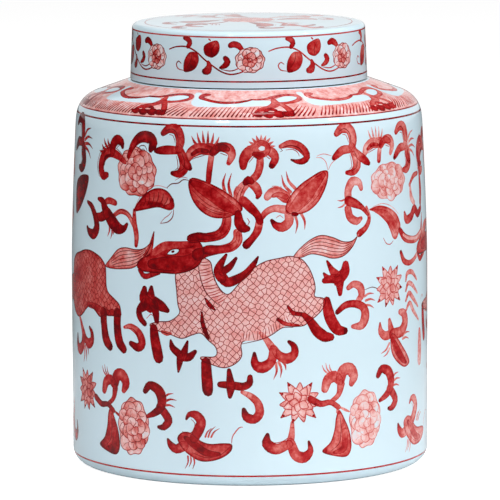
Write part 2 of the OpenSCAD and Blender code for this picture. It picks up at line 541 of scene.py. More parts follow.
def drop_leaf(b):
    """A leaf hanging from its stem, broad and turned to the left at the bottom."""
    b.patch((0, 0.5), (4, -6), (7, -13), (8, -21), (5, -25.8), (-3, -25), (-10.5, -22), (-5.5, -17),
            (-3, -10), (-2.2, -4), tone=(CORAL, RED), edge=0.12, soft=3, outlined=DEEP, width=0.45)
    b.stroke((1, -4, 1.5), (3.4, -12, 3.4), (3, -21, 4), (-3, -23, 2), tone=(RED, DEEP), edge=-0.05)
    b.line((0.4, -3), (1.2, -11), (0, -18), (-5, -22), width=0.45, tone=DEEP)


def fish_leaf(b):
    """A long curled leaf with a hook on its back, a fin to the left and hairs."""
    b.patch((-13, 3.4), (-10, 7), (-5, 7), (0.5, 3), (6, 1.4), (13, 2), (18, 1.6), (18, -2),
            (14, -5.6), (8, -8), (1, -8.6), (-5, -6), (-10, -2), tone=CORAL, edge=0.12, soft=3,
            outlined=DEEP, width=0.45)
    b.stroke((-3, 4, 5.4), (-0.6, 8.5, 6), (1, 13.4, 5.6), (-2, 17, 5), (-6, 17, 3), (-7.6, 14.4, 1.4),
             tone=(RED, CORAL), edge=0.12)
    b.stroke((-9, -0.5, 6), (-13.6, -2.6, 5.2), (-17, -0.4, 4), (-18.6, 2.4, 1.6),
             tone=(CORAL, DEEP), edge=0.1)
    b.stroke((-8, 4, 2.6), (-3, 0.6, 4.4), (4, -3.6, 4.2), (11, -4, 2), tone=DEEP, edge=-0.06)
    b.line((-4, -4), (4, -6.4), (12, -4.4), (17, 0), width=0.45, tone=RED)
    b.line((-4.8, 14.4), (-2.6, 12.4), (-3.4, 8.4), (-6, 6.6), (-10, 7.4), width=0.45, tone=RED)
    hair_groups(b, (5, 5, 9, 11), (-5, -6, -6, -12))
    b.line((18, 2), (18.6, 6), (22, 10.6), (24, 11), width=0.6, tone=CORAL)


def anchor(b, tone=(CORAL, DEEP)):
    """A stem that ends in two upturned hooks."""
    b.stroke((-8, 12.6, 2), (-4.4, 8.4, 3.4), (-1.2, 3.4, 4.4), (-0.6, 0, 4.6), tone=(ROSE, CORAL))
    b.stroke((-1, 3.6, 4.4), (-2, -3, 5.4), (-7, -6.6, 6.6), (-11, -4.4, 5.2), (-11.4, 1.4, 2),
             tone=tone, edge=0.12)
    b.stroke((-1, 4.6, 3.6), (2, 0.4, 4.8), (6.6, -1.6, 6), (10.6, 0.8, 4.8), (10.4, 5, 3.6),
             (7.6, 7.6, 2), tone=tone, edge=0.12)
    b.hairs((0.4, -4, -0.8, -13), (2, -3.4, 3, -12), (4, -3, 6, -8), width=1.6)


def double_hook(b):
    """A hanging stem that ends in two wide upturned hooks, the right one lower."""
    b.stroke((1, 12, 2), (0.6, 5, 3.6), (-0.5, 0, 4.6), tone=(ROSE, CORAL))
    b.stroke((-1, 0, 5), (-8, -2.6, 6), (-13, 0.6, 6), (-12.8, 5.4, 2.4), tone=(CORAL, DEEP), edge=0.12)
    b.stroke((0, 1, 5), (3, -6, 6), (8, -7.6, 6.2), (11.4, -4, 3.8), (10.4, 1, 1.4),
             tone=(CORAL, DEEP), edge=0.12)
    b.line((-12.4, 3.6), (-9, 0.9), (-4, 1.8), (-1, 4), width=0.45, tone=RED)


def e_scroll(b):
    """A scroll like a letter E seen from behind, with hairs on its back."""
    b.stroke((-10, 7, 3.4), (-7, 10.4, 4.8), (-1.6, 8.6, 6), (1, 3.6, 6), (0, -1.4, 5),
             (-3.6, -4.6, 4), (-8.6, -7, 2.2), tone=(DEEP, RED), edge=0.1)
    b.stroke((-0.4, -1, 5), (3.4, -5, 5), (5, -8.6, 5), (2, -12, 4), (-1, -12.2, 2.2),
             tone=(RED, DEEP), edge=0.1)
    b.line((-9.6, 8.4), (-5, 12.2), (0.4, 10.4), (3.4, 6.6), width=0.5, tone=CORAL)
    b.hairs((2.4, 4.6, 8, 7), (3, 2.4, 10, 3.4), (2.6, 0, 9, -0.6), width=1.5)


def sprig(b, *arms):
    """A small dark cloud sprig: plain strokes that meet."""
    for arm in arms:
        b.stroke(*arm, tone=DEEP, edge=0.05)


def horned_sprig(b):
    """A sprig with two horns, a spike between them and a tail."""
    sprig(b, ((-7.6, 8, 1.4), (-6.4, 4, 4), (-2.6, 0.8, 5)),
          ((6.8, 2.6, 2.4), (3.4, -0.6, 4.6), (-1, -0.8, 5)),
          ((2.4, 8, 1.4), (1, 3.4, 3.6), (0, 0, 5)), ((-1.6, 0, 5), (-2.4, -5, 3.6), (-3, -9, 1.4)))


def cross_sprig(b):
    """A sprig like a small cross with one arm turned up."""
    sprig(b, ((-1.6, 8, 2.4), (-1, 3, 4), (-0.6, -1, 5), (-1, -6.6, 2.4)),
          ((-6.4, 0, 3.6), (0, -0.4, 4.6), (6, -1, 4.6), (9.6, 0.8, 4.2), (10, 4.4, 3)))


def bushy_sprig(b):
    """A stout sprig with a lumpy head and three curled feet."""
    sprig(b, ((-4, 9.4, 3.4), (-4.4, 4, 7), (-0.4, 0, 8)), ((0.6, 10.4, 2.4), (0, 5, 6), (-1, 0, 7)),
          ((-3, 1, 7), (-7.6, -3, 4.4), (-7, -7, 4), (-4, -10, 3.4)),
          ((2, 1, 6), (3.6, -4, 4.4), (4, -8, 3)), ((2, 3, 6), (7, 0.4, 6), (10.6, -1.6, 3.2)))


def y_sprig(b):
    """A sprig like a letter Y on one foot, with a short arm to the left."""
    sprig(b, ((-7, 10, 1.4), (-4, 5, 4), (-0.4, 1, 6.6)), ((4.6, 7.6, 4.4), (4, 3.4, 6.6), (0, -1, 7)),
          ((-8.6, -0.6, 3.4), (-4.6, 0.2, 5), (0, 0, 6)), ((-9, 3.4, 1.4), (-7, 1, 3.4), (-5, 0, 3)),
          ((0.6, -1, 6), (1, -8.4, 2.8)))


def flame(b):
    """A dark licking flame with three tongues."""
    sprig(b, ((-2, 12.4, 1.6), (-5, 7.4, 4), (-6.6, 3, 5), (-4.4, -0.6, 5.4)),
          ((3.4, 10.6, 1.8), (0, 6, 3.8), (-4, 3, 4.4)),
          ((-5, 1, 6), (-1.4, -2.6, 5.6), (4, -0.8, 5), (9, 2.6, 4), (13, 7.4, 3.2), (15.4, 11.4, 1.2)))


def small_curl(b):
    """A loose comma that thickens to its end."""
    b.stroke((-7, 5, 1.4), (-2, 5.8, 2.8), (4, 3, 4), (6.4, -2, 4.8), (3, -4.8, 5), (-2, -2.8, 3),
             tone=(RED, DEEP), edge=0.1)


def tufted_pod(b):
    """A pod that hangs to the lower right from three curled arms."""
    b.patch((-9, 3), (-8, -6), (-3, -12), (5, -16), (11, -14), (8, -9), (3, -4), (-2, 1), (-6, 4),
            tone=CORAL, edge=0.12, soft=3, outlined=DEEP, width=0.45)
    b.stroke((-7, 1, 3), (-3, -5, 5), (3, -11, 4.4), (7, -13.6, 2), tone=DEEP, edge=-0.05)
    b.stroke((-18, 11, 1.4), (-17.4, 6.4, 4), (-13.6, 3.6, 5), (-8, 4.4, 5), tone=(RED, CORAL))
    b.stroke((-10, 12, 2.4), (-8.6, 7, 5), (-7, 3, 6), tone=(CORAL, RED))
    b.stroke((0, 15.4, 3.4), (4, 14, 5.6), (5.6, 9, 6.6), (1.4, 4.4, 6.6), (-7, 4, 6),
             tone=(CORAL, RED), edge=0.12)
    b.hairs((-10, -1, -17, -6), (-10, -4, -15, -8), (3, 1.6, 11, 3), (3, 0, 10, -0.6), width=1.5)


# ---------------------------------------------------------------- the beasts

def plume(b, outline, stripes, tone=PINK):
    """A striped tail: a pale shape with fine dark lines combed along it."""
    b.patch(*outline, tone=(tone + 0.06, tone + 0.02), edge=0.1, soft=3, outlined=DARK, width=0.5)
    for stripe in stripes:
        b.line(*stripe[1:-1], width=0.42, tone=DEEP)


def comb(first, last, count):
    """Lines evenly blended from the first path to the last."""
    first, last = np.array(first, float), np.array(last, float)
    return [[tuple(p) for p in first + (last - first) * (i + 1) / (count + 1)]
            for i in range(count)]


def running_plume(b):
    """The tail that streams back from the rump, from its root at the origin."""
    top = [(0, 0), (4, 4.6), (10, 9), (16, 11), (23, 9.6), (30, 6.8), (36, 7), (40.6, 10.6)]
    low = [(1.6, -1), (5, -1), (10, 0.6), (16, -0.4), (23, -2.4), (30, -1.4), (36, 3.2), (40, 9.6)]
    plume(b, top + low[::-1], comb(top, low, 5))


def tick_band(b, left, right, count, width=0.55, tone=DEEP):
    """Short ticks on a plain band between two lines, like the frill along a neck or a belly."""
    b.patch(*left, *right[::-1], tone=PINK - 0.02, edge=0.02, soft=1, hide=0, covers=True)
    left = smooth_path(np.array(left, float))
    right = smooth_path(np.array(right, float))
    for i in range(count):
        share = (i + 0.5) / count
        ends = [tuple(side[min(int(share * len(side)), len(side) - 1)]) for side in (left, right)]
        middle = ((ends[0][0] + ends[1][0]) / 2, (ends[0][1] + ends[1][1]) / 2 - 0.3)
        b.line(ends[0], middle, ends[1], width=width, tone=tone)


def beast_head(b):
    """A long dark head that looks left, with a pale eye and two horns swept back."""
    b.patch((-26, 0), (-23.4, 3.6), (-18, 6.4), (-13, 11), (-8, 13.8), (-2, 14.6), (4, 14.4),
            (9, 16), (13, 15.4), (15.6, 10), (13.6, 3), (8, -1), (0, -3.2), (-8, -3.4), (-15, -3.6),
            (-21, -3.4), (-24.6, -2.4), tone=RED, edge=0.08, soft=3, outlined=DARK, width=0.5)
    b.stroke((-15, 7, 4), (-8, 11.4, 5), (0, 12.6, 4.4), (8, 13.4, 4), tone=(CORAL, RED), edge=0,
             covers=True)
    b.stroke((-16, 1.4, 5.4), (-6, 2.2, 8), (4, 3, 8), (11, 7, 5), tone=(DEEP, RED), edge=0.04)
    b.stroke((-24, -2.6, 2.4), (-20.6, -5.8, 3.4), (-16, -4.8, 3), (-11, -3.4, 2), tone=(DEEP, RED))
    b.stroke((-19.4, 5, 4.6), (-16.6, 10.6, 3.2), (-14.6, 19, 0.8), tone=(CORAL, RED))
    b.line((-19, 6), (-17, 11), (-15, 17), width=0.5, tone=DARK)
    b.patch((-6.4, 7.2), (-4.4, 9.8), (-0.4, 11), (1.6, 10.2), (0.4, 8), (-3, 6.8), tone=0.03, edge=0,
            covers=True, outlined=DARK, width=0.6)
    b.stroke((-3, 8.8, 1.3), (-2, 9.2, 1.3), tone=DARK, edge=0)
    b.stroke((8, 16.6, 5), (12, 17.4, 5.4), (18, 17, 3.8), (25, 18.8, 4), (28, 23, 4.4),
             (29, 28, 3.6), tone=(DEEP, CORAL), edge=0.12)
    b.stroke((12, 8, 7), (17, 9.6, 5.6), (24, 10.8, 4.2), (31, 12.2, 4), (35, 16, 3.6), (35, 20.4, 3),
             tone=(DEEP, ROSE), edge=0.12)
    b.line((16.4, 13), (20, 13.4), (24, 13), width=0.5)


def hoof(b, *path):
    """A dark lower leg that ends square."""
    b.stroke(*path, tone=DEEP, edge=0.06)


def running_beast(b, hide_tone):
    """A scaled beast at full run to the left, its origin at the middle of the body."""
    body = [(-42, 7), (-41.4, -2), (-40.6, -10), (-39.6, -14.6), (-45, -19), (-52, -20), (-58, -22),
            (-56, -25), (-50, -26), (-45, -27), (-38, -28.8), (-32, -26.6), (-27, -25.4),
            (-23, -29), (-18.6, -33), (-19, -37.4), (-27, -38), (-26.4, -40.4), (-22, -42),
            (-14, -44), (-7.4, -41.4), (-4, -37), (-4.4, -31), (-2, -28.6), (6, -27.6), (12, -25),
            (18, -21), (24, -21.4), (30, -21), (34, -18.4), (38, -15.4), (41, -12.4), (43, -8),
            (41, -5.8), (36.4, -4.8), (36.8, -1), (36, 4), (33, 11), (28.4, 16.2), (22, 17.8),
            (17, 17), (8, 15), (0, 10), (-6, 3), (-12, -3), (-17, 1), (-20, 8), (-22, 15),
            (-30, 17), (-38, 12)]
    b.patch(*body, tone=hide_tone, edge=0.02, soft=2, hide=1, outlined=DARK, width=0.55)
    tick_band(b, ((-28.6, 14), (-27, 5), (-23.6, -3), (-18, -8.4)),
              ((-22.4, 14.4), (-20, 5), (-16, -2), (-12.6, -5)), 14, tone=CORAL)
    b.line((-28.8, 14), (-27.2, 5), (-23.8, -3), (-17, -9.4), width=0.6, tone=DEEP)
    b.stroke((-24.4, -6, 1.2), (-22, -9.4, 2.8), (-19, -12, 1), tone=DEEP)
    tick_band(b, ((-3, -24), (6, -23), (14, -18.6), (20, -15)),
              ((-3.6, -28.4), (7, -27.6), (15, -23), (22, -19)), 16, width=0.45, tone=RED)
    b.line((-4, -30.4), (6, -28), (12, -25.4), (18, -21.6), (24, -21.6), width=0.55, tone=DARK)
    b.stroke((-26.4, -13.6, 1.2), (-26, -19, 2.6), (-24, -25, 2.6), (-22.4, -28, 1.2), tone=DEEP)
    b.stroke((15.4, -17, 2), (20, -19.6, 2.4), (27, -20.4, 1.2), tone=(DEEP, RED))
    b.stroke((21, -10, 1.6), (24, -13.6, 2.4), (30, -15, 2.8), (34, -19, 5), (37.5, -24, 6.4),
             (42, -27.4, 6.4), (46, -28, 4.6), tone=DEEP, edge=0.06)
    hoof(b, (43.4, -7.6, 4.6), (44.4, -14, 6.6), (47, -20, 7), (50.6, -24.2, 6.4), (54.6, -25, 4.6))
    hoof(b, (-55.4, -24, 5), (-54.6, -30, 6.2), (-53.2, -36, 6.6), (-52.2, -40.4, 6.2))
    hoof(b, (-24, -41, 5.6), (-23.6, -48, 6.2), (-23, -54, 6.2), (-22.8, -57, 5.8))
    b.stroke((-50, -25.6, 1.8), (-47, -26.4, 2.6), (-44.6, -26.2, 1.4), tone=CORAL, edge=0)
    b.line((-60, -19), (-57, -16.4), (-55, -18.4), width=0.5, tone=CORAL)
    beast_head(b.to(-41, 10))
    running_plume(b.to(24, 17.6))


def standing_beast(b):
    """A darker, finely scaled beast that stands with its rump to the right."""
    rump = [(-36, 2), (-34, 9), (-28, 13.4), (-20, 15.6), (-12, 17.6), (-4, 18), (4, 16.4), (8, 14.6),
            (11.6, 11), (12.2, 6), (12.6, 0), (14.4, -3.4), (19, -6), (23.6, -9), (25, -13), (24.6, -16),
            (18, -16.4), (11, -16.6), (6, -18.2), (0, -15), (-5, -13.4), (-10, -15.6), (-15, -19),
            (-22, -21.6), (-30, -20), (-38, -14), (-46, -16), (-56, -18), (-66, -15), (-73, -10),
            (-77, -4), (-76, 4), (-80, 12), (-78, 17), (-68, 13), (-60, 6), (-50, 1), (-42, 0)]
    b.patch(*rump, tone=ROSE + 0.09, edge=0.06, soft=3, hide=0.6, outlined=DARK, width=0.6)
    b.stroke((-34, -8, 8), (-24, 2, 14), (-14, 9, 8), (-6, 14, 4), tone=(RED, CORAL), edge=-0.1,
             hide=0.4)
    b.stroke((-8, -12.6, 3), (2, -13, 4), (12, -15, 3.6), (22, -14, 4), tone=RED, edge=-0.06, hide=0.4)
    hoof(b, (22, -14, 6), (21.8, -22, 6), (23.4, -29.6, 6.6), (26.8, -33.6, 5.4))
    hoof(b, (9.6, -15, 6.4), (10, -22, 6), (12, -30, 6.8), (15.4, -33.4, 5.4))
    hoof(b, (-54, -16, 7), (-56, -26, 6), (-54, -36, 5.6))
    hoof(b, (-69, -12, 7), (-73, -22, 6), (-72, -33, 5.6))
    beast_head(b.to(-93, 8))
    top = [(11, 11.4), (16, 16), (22, 21.4), (28, 23), (36, 22.6), (42, 24), (47.4, 28.6)]
    low = [(12, 10.4), (18, 10), (26, 10.6), (34, 12), (40, 16), (44, 21.4), (46.4, 26)]
    plume(b, top + low[::-1], comb(top, low, 5), tone=PINK + 0.02)


# ---------------------------------------------------------------- what is painted on the wall

def heart_of_scrolls(b):
    """The two big leaves on the axis with the scrolls that hang between them."""
    tufted_leaf(b, [(-35, 167.6), (-32.6, 170), (-26, 168.6), (-17, 164.8), (-10, 160.4), (-5, 156),
                    (-4.4, 152.6), (-9, 150), (-14, 148.4), (-21, 148.6), (-27.4, 151.8),
                    (-32, 157), (-34.4, 162.6)],
                [(-33.4, 167.8, 2.4), (-27.4, 164.6, 6), (-20, 160.4, 7), (-13, 155.4, 6.4),
                 (-7.6, 152.4, 4)],
                [[(-30, 158), (-22, 153), (-12, 150.6)], [(-32.4, 163), (-24, 156), (-14, 152)],
                 [(-28, 166.4), (-18, 162), (-9, 156.6)], [(-26, 153.6), (-18, 150.6), (-11, 150)]])
    tufted_leaf(b, [(44.6, 173.4), (40, 173.4), (34, 170.4), (28, 166.6), (23, 161.6), (19.6, 155),
                    (20.4, 151.6), (25, 150.2), (32, 151.6), (38, 156), (42, 162), (44.4, 168)],
                [(42, 171.6, 3), (36, 166, 6.4), (30, 160, 7.6), (25, 154.6, 6.4), (21.6, 152.2, 4)],
                [[(40, 167), (34, 158), (27, 152)], [(42.4, 167), (38, 159.6), (31, 153.2)],
                 [(36, 169.6), (28, 163), (22.6, 156)]])
    b.hairs((-14, 162.6, -13.6, 173), (-10.6, 160.6, -10.4, 173), (-8, 159.6, -7.6, 166), width=1.9)
    b.hairs((22.4, 162.6, 17.4, 172), (25, 164.6, 20, 174), (19.6, 160, 17, 166), width=1.9)
    b.hairs((24.8, 150.4, 25.2, 140), (28.6, 150.4, 30.4, 142), width=1.7)
    b.stroke((24, 150.6, 2.4), (26, 150.4, 2), tone=DARK, edge=0)
    b.line((-34.6, 168.4), (-38, 168.6), (-41, 166.6), (-45, 166), (-48, 163.6), width=0.6)
    b.line((-35.4, 169.6), (-39, 170), (-43, 168), width=0.4, tone=CORAL)
    b.line((44.6, 173.8), (43.6, 178), (41, 180.6), (37.6, 181), width=0.45, tone=CORAL)
    b.line((45, 174), (47, 177.4), (51, 180), width=0.45, tone=CORAL)
    b.line((38, 181.8), (42, 182.8), (47, 181.6), width=0.45, tone=CORAL)
    b.stroke((-2.6, 168, 3.6), (-1, 169.6, 4.6), (0.6, 168.6, 3.6), tone=DEEP)
    b.stroke((-1.6, 168, 4.6), (-5, 164.4, 5.4), (-6.6, 160, 5.4), (-6, 155, 4.4), tone=(ROSE, CORAL))
    b.line((-3, 166.6), (-5.4, 161), (-5.4, 156), width=0.5, tone=RED)
    b.line((-5, 165.4), (-7.4, 160.6), (-7.6, 156), width=0.4, tone=RED)
    b.stroke((0, 168, 4.4), (3.2, 165.4, 5), (4.6, 162, 4.2), (4, 160, 2.4), tone=(CORAL, RED))
    b.stroke((-4, 158.4, 5), (0, 154.6, 5.6), (4, 150.4, 4.4), (5.4, 147, 4.4), tone=(RED, DEEP),
             edge=0.06)
    b.stroke((5.2, 147, 4.2), (4.2, 142, 4.4), (1.4, 137.6, 4), (-2, 133.8, 4.6),
             tone=(CORAL, DEEP), edge=0.1)
    b.line((4.2, 146), (3, 141), (0.6, 137.6), width=0.6, tone=PALE)
    b.stroke((6, 148.4, 3), (9, 152, 3.6), (13.6, 153.8, 4), (20, 152.8, 5), tone=(RED, ROSE))
    b.stroke((-6.6, 151, 4), (-6, 146, 5.6), (-3.6, 143.2, 5.4), (-1.4, 142.8, 3.4), tone=DEEP)
    b.line((-1.6, 148.6), (-0.4, 146.6), (-1.4, 144.8), width=0.5, tone=RED)
    b.stroke((-12.6, 149, 4.8), (-14, 143.4, 4.8), (-17.6, 139.8, 4.2), (-24, 138.2, 3.8), (-29, 138.2, 4.2),
             (-32, 137, 3.4), tone=(CORAL, DEEP), edge=0.1)
    b.stroke((-7.6, 141, 3.4), (-7.4, 137.4, 3.8), (-9.6, 133.8, 4.2), (-15, 131.6, 4.6),
             (-22, 131, 5), (-26, 130.6, 4), tone=(ROSE, DEEP), edge=0.12)
    b.stroke((21.4, 151, 5), (21.4, 146.4, 5.6), (17.6, 143.6, 5.6), (14, 144.8, 4.2), (12, 147.2, 2.2),
             tone=(ROSE, DEEP), edge=0.1)
    b.line((14.4, 148.6), (16.4, 150), (18.4, 148.4), width=0.45, tone=CORAL)
    b.stroke((20, 159.6, 6.4), (15, 162.8, 5.8), (11.4, 162.2, 4.8), (9.4, 160, 4), tone=(CORAL, ROSE),
             edge=0.1)
    b.stroke((20, 160, 3), (16, 161.4, 3), (12.6, 160.6, 2), tone=RED, edge=0)
    b.line((12, 166), (15.4, 165.8), (19, 163.8), width=0.6, tone=ROSE)


def hooked_scroll(b):
    """A tall question-mark scroll and the wavy root under it."""
    b.stroke((66.5, 162.5, 2.8), (65, 166, 4), (60.4, 166.8, 5.4), (57.4, 162, 5), (57.6, 156, 5),
             tone=(ROSE + 0.06, CORAL), edge=0.1)
    b.stroke((57.4, 156.4, 5.6), (62, 154.6, 5), (67, 152, 3), (71, 148, 2), tone=(DEEP, RED))
    b.stroke((57, 152, 4.6), (58.6, 147, 4.8), (63, 144.8, 4.4), (66, 146.2, 2.4), tone=(RED, CORAL))
    b.hairs((55.4, 155, 50.6, 153), (55.4, 157.4, 50.4, 157), width=1.2)
    b.stroke((64.6, 137.8, 4), (69.5, 141, 3.2), (72, 146, 2.6), (70, 152, 1.8), tone=(DEEP, ROSE))


def left_cluster(b):
    """Low hooked scrolls to the left of the blown flower."""
    b.stroke((-113.4, 150.4, 2), (-108, 148.4, 4), (-103.4, 143, 5), (-101.6, 137.4, 6),
             (-105, 133.4, 6), (-110.6, 134.2, 4.4), (-113, 136.4, 2.2), tone=(RED, DEEP), edge=0.1)
    b.stroke((-103, 143.4, 4), (-97, 143.6, 5.6), (-91.6, 146.4, 7), tone=(RED, DEEP))
    b.stroke((-100.4, 153.4, 2.2), (-96.4, 152.6, 4.4), (-94, 149, 6), (-91.6, 146, 7), tone=(RED, DEEP))
    b.stroke((-95, 151.6, 3), (-90, 153.4, 4), (-84.4, 152.6, 3.4), tone=CORAL)
    b.stroke((-91.6, 146.4, 7), (-86.6, 142, 8), (-81.6, 139, 7), (-77, 139.2, 4), (-74.6, 141.8, 2),
             tone=DEEP, edge=0.06)
    b.hairs((-89, 141, -90.6, 133.6), (-87, 140, -87.8, 132.6), (-85.4, 139, -85.6, 135), width=1.8)
    b.stroke((-87, 144.6, 2.4), (-80, 148.4, 3), (-73.6, 147, 3), (-68.6, 140, 2.4), tone=(CORAL, ROSE))
    b.line((-86, 145), (-80, 149.2), (-73.4, 147.8), (-69.4, 143), width=0.45, tone=RED)


def left_scroll(b):
    """A round open scroll with a hook on its shoulder."""
    b.stroke((-92.6, 167.4, 3.6), (-96.4, 166.8, 5.6), (-98.8, 171, 6), (-96.6, 177, 6.4),
             (-91, 180, 6), (-84, 179, 5), (-77.6, 175.8, 3), tone=(RED, CORAL), edge=0.1, echo=True)
    b.stroke((-88.4, 180, 4.6), (-87.8, 184.6, 5.8), (-84.4, 187.6, 5.8), (-80.8, 186.4, 4.8),
             (-79.8, 184, 2.6), tone=(RED, DEEP), edge=0.1, echo=True)
    b.stroke((-96, 173, 1.6), (-94.6, 177, 2), (-90, 178.6, 1.6), tone=DEEP, edge=0)
    b.hairs((-96.4, 180, -101, 180.4), (-95, 181, -98.6, 184), (-93, 182.6, -96.6, 187.4),
            (-91, 183.4, -93, 187.6), width=2.1, tone=(RED, CORAL))


def broad_leaf(b):
    """A broad dark leaf with a paler rib."""
    b.patch((-134, 159), (-128, 163), (-120, 165), (-113, 164.5), (-115, 157), (-121, 149),
            (-127, 144), (-133, 142), (-135, 150), tone=(DEEP, DARK), edge=0.08, soft=3,
            outlined=DARK)
    b.line((-131, 146), (-124, 153), (-116, 162), width=0.6, tone=CORAL)


def upper_group(b):
    """One run of the upper scrolls, about 160 mm wide, with its flower at the left."""
    peony(b.to(-69, 171), wide=14.6, tall=14, tone=ROSE - 0.04, outline=RED, seed=1, line=0.36)
    b.stroke((-75, 179, 2.6), (-71.4, 186, 4.6), (-66, 190.4, 6.4), (-60, 190.6, 7), (-57.4, 187.4, 6.4),
             (-59, 183.8, 3.4), tone=(RED, DEEP), edge=0.1)
    b.line((-72.6, 181), (-68.4, 187), (-63, 189.4), width=0.5, tone=DARK)
    b.line((-69, 182), (-66.4, 185.4), (-63, 185.6), (-61.4, 183), width=0.5)
    b.line((-66, 182.4), (-64.4, 184), (-62.6, 183), width=0.4)
    trident(b.to(-43.6, 184), arm=(-12, -0.4), drop=(9.4, -9))
    palmette(b.to(-22, 186))
    crown_palmette(b.to(5, 186))
    comma(b.to(24, 184))
    trident(b.to(58, 184))
    bean(b.to(-70, 149.6))
    b.line((-43.5, 152), (-44, 148), (-47, 145), (-51.6, 144), width=0.6, tone=RED)
    b.line((-44.4, 151), (-46.6, 148.6), (-49, 147), (-51.6, 144), width=0.4, tone=CORAL)
    b.stroke((-69.4, 150, 2), (-69, 143, 3.4), (-67.4, 136, 3.4), (-67.6, 130.6, 2.4), tone=CORAL)
    heart_of_scrolls(b)
    hooked_scroll(b)
    hanging_leaf(b.to(72, 150.6))
    b.line((83, 134), (85.4, 130.8), (89, 130), (91.6, 131.6), width=0.55, tone=RED)


def upper_row(marks):
    """The scrolls, leaves and flowers under the shoulder, all round."""
    front = Brush(marks, lean=LEAN)
    upper_group(front)
    left_cluster(front)
    left_scroll(front)
    broad_leaf(front)
    trident(front.to(-128, 182, size=1.12, strength=1.25), hairs=True, drop=(7, -9))
    peony(front.to(89.5, 165), wide=16.4, tall=10.6, tone=PINK, outline=CORAL, seed=2, line=0.36)
    palmette(front.to(82, 187, size=0.92, strength=0.85), hairs=5, stem=10)
    trident(front.to(105, 182, strength=0.95), hairs=True, arm=(-10, -4.6), drop=(7, -8))
    front.stroke((136, 184.6, 2), (132, 184.6, 4), (127.6, 181.6, 5.4), (126, 176, 5.6), (129, 171.6, 4.6),
                 (133, 170.6, 2.6), tone=(RED, DEEP), edge=0.1)
    front.stroke((104, 146, 2), (106, 142, 5), (112, 143, 5), (117, 147, 5), (122.5, 143.5, 4.6),
                 (128, 146, 4), tone=(RED, DEEP), edge=0.1)
    front.stroke((128, 166, 3), (129, 157, 4.4), (128, 149, 3.4), tone=(RED, DEEP))
    front.stroke((112, 160, 2), (113, 154, 3.6), (117, 150, 3), tone=(PINK, ROSE))
    front.stroke((111, 160.6, 2), (117, 165, 3), (124, 166, 2.4), tone=(CORAL, RED))
    left_cluster(front.to(387, 0))
    for start in (227, 387):
        group = front.to(start, 0)
        upper_group(group)
        left_scroll(group)
        palmette(group.to(82, 187, size=0.9), hairs=5)
    peony(front.to(-157, 167), wide=15, tall=12, tone=PINK + 0.04, outline=RED, seed=3)


def lower_scroll(b):
    """The scroll under the flower that splits into two fat curls."""
    b.stroke((-6, 11.5, 4), (0, 8.5, 3.6), (6, 9, 3), (11, 6, 3), tone=(DEEP, RED))
    b.stroke((6, 9, 2.6), (11, 13, 3.2), (12.5, 19, 5), tone=(CORAL, RED))
    b.stroke((11.6, 20.6, 5), (8.6, 23.2, 6), (4.6, 21.6, 6), (2.6, 16.6, 4.6), tone=(RED, CORAL),
             edge=0.1)
    b.stroke((12, 21, 6), (14, 26, 6.8), (18.4, 26.6, 6.8), (21, 22.4, 6), (19.4, 18.4, 3.6),
             tone=(RED, CORAL), edge=0.1)
    b.line((11, 6), (10.4, 4.6), (10, 3), width=1.6, tone=CORAL)
    b.line((11, 6.4), (15, 4.4), (18, 3), width=1.6, tone=CORAL)
    hair_groups(b, (6, 25, 3, 31))


FRONT_PLACES = ((27.6, 47), (51.6, 41), (40, 37), (69.4, 35), (88.6, 51), (114.6, 23.6, -9), (163.4, 24))
LEFT_PLACES = ((27.6, 45.4), (53, 38.6), (44.6, 31), (71, 30), (89.6, 43.6), (113, 22.6), (163.4, 24))


def lower_unit(b, places, flower_tone, lotus_tone, outline=CORAL, leaf=0.86):
    """One run of the lower row, about 140 mm wide; places are its seven motifs, from its lotus on."""
    lotus(b.to(*places[0]), tone=lotus_tone)
    drop_leaf(b.to(*places[1]))
    lower_scroll(b.to(*places[2]))
    peony(b.to(*places[3]), wide=11.6, tall=16.6, tone=flower_tone, outline=outline, seed=4, line=0.38)
    e_scroll(b.to(*places[4]))
    fish_leaf(b.to(*places[5], strength=leaf))
    double_hook(b.to(*places[6]))


def lower_row(marks):
    """The flowers, leaves and scrolls above the foot, all round."""
    base = Brush(marks, lean=LEAN)
    lower_unit(base.to(-140.6, 0), LEFT_PLACES, flower_tone=PINK + 0.02, lotus_tone=PINK + 0.08,
               outline=RED, leaf=1)
    for start in (0, 161.5, 323):
        lower_unit(base.to(start, 0), FRONT_PLACES, flower_tone=PALE + 0.04, lotus_tone=PALE + 0.06)
    for start in (152, 310):
        cross_sprig(base.to(start, 55))
        small_curl(base.to(start + 2, 34))


def beast_sprigs(b):
    """The dark sprigs in the gaps round a running beast."""
    horned_sprig(b.to(-37, -38))
    cross_sprig(b.to(-9.6, -53))
    b.stroke((-4, -57, 2), (0.4, -59, 3.6), (4.6, -63, 4.4), (5.6, -68.6, 5), (2.6, -72, 5),
             (-1.6, -70.6, 4.8), (-3, -66.6, 2.4), tone=(ROSE, DEEP), edge=0.08)
    y_sprig(b.to(50.6, 4))
    flame(b.to(-11, 6))
    anchor(b.to(14, -37))


def leading_sprigs(b):
    """The stout sprig under a beast's chin and the loose curl before its forefeet."""
    bushy_sprig(b.to(-57.4, -12))
    b.stroke((-76, -25.4, 1.8), (-71, -24.6, 3.6), (-65.4, -27.6, 4.8), (-63, -33, 5.2), (-66, -35.8, 5.2),
             (-71, -34, 3.4), tone=(ROSE, DEEP), edge=0.14)
    b.line((-74, -25.6), (-69, -26), (-65.4, -30), width=0.5, tone=RED)


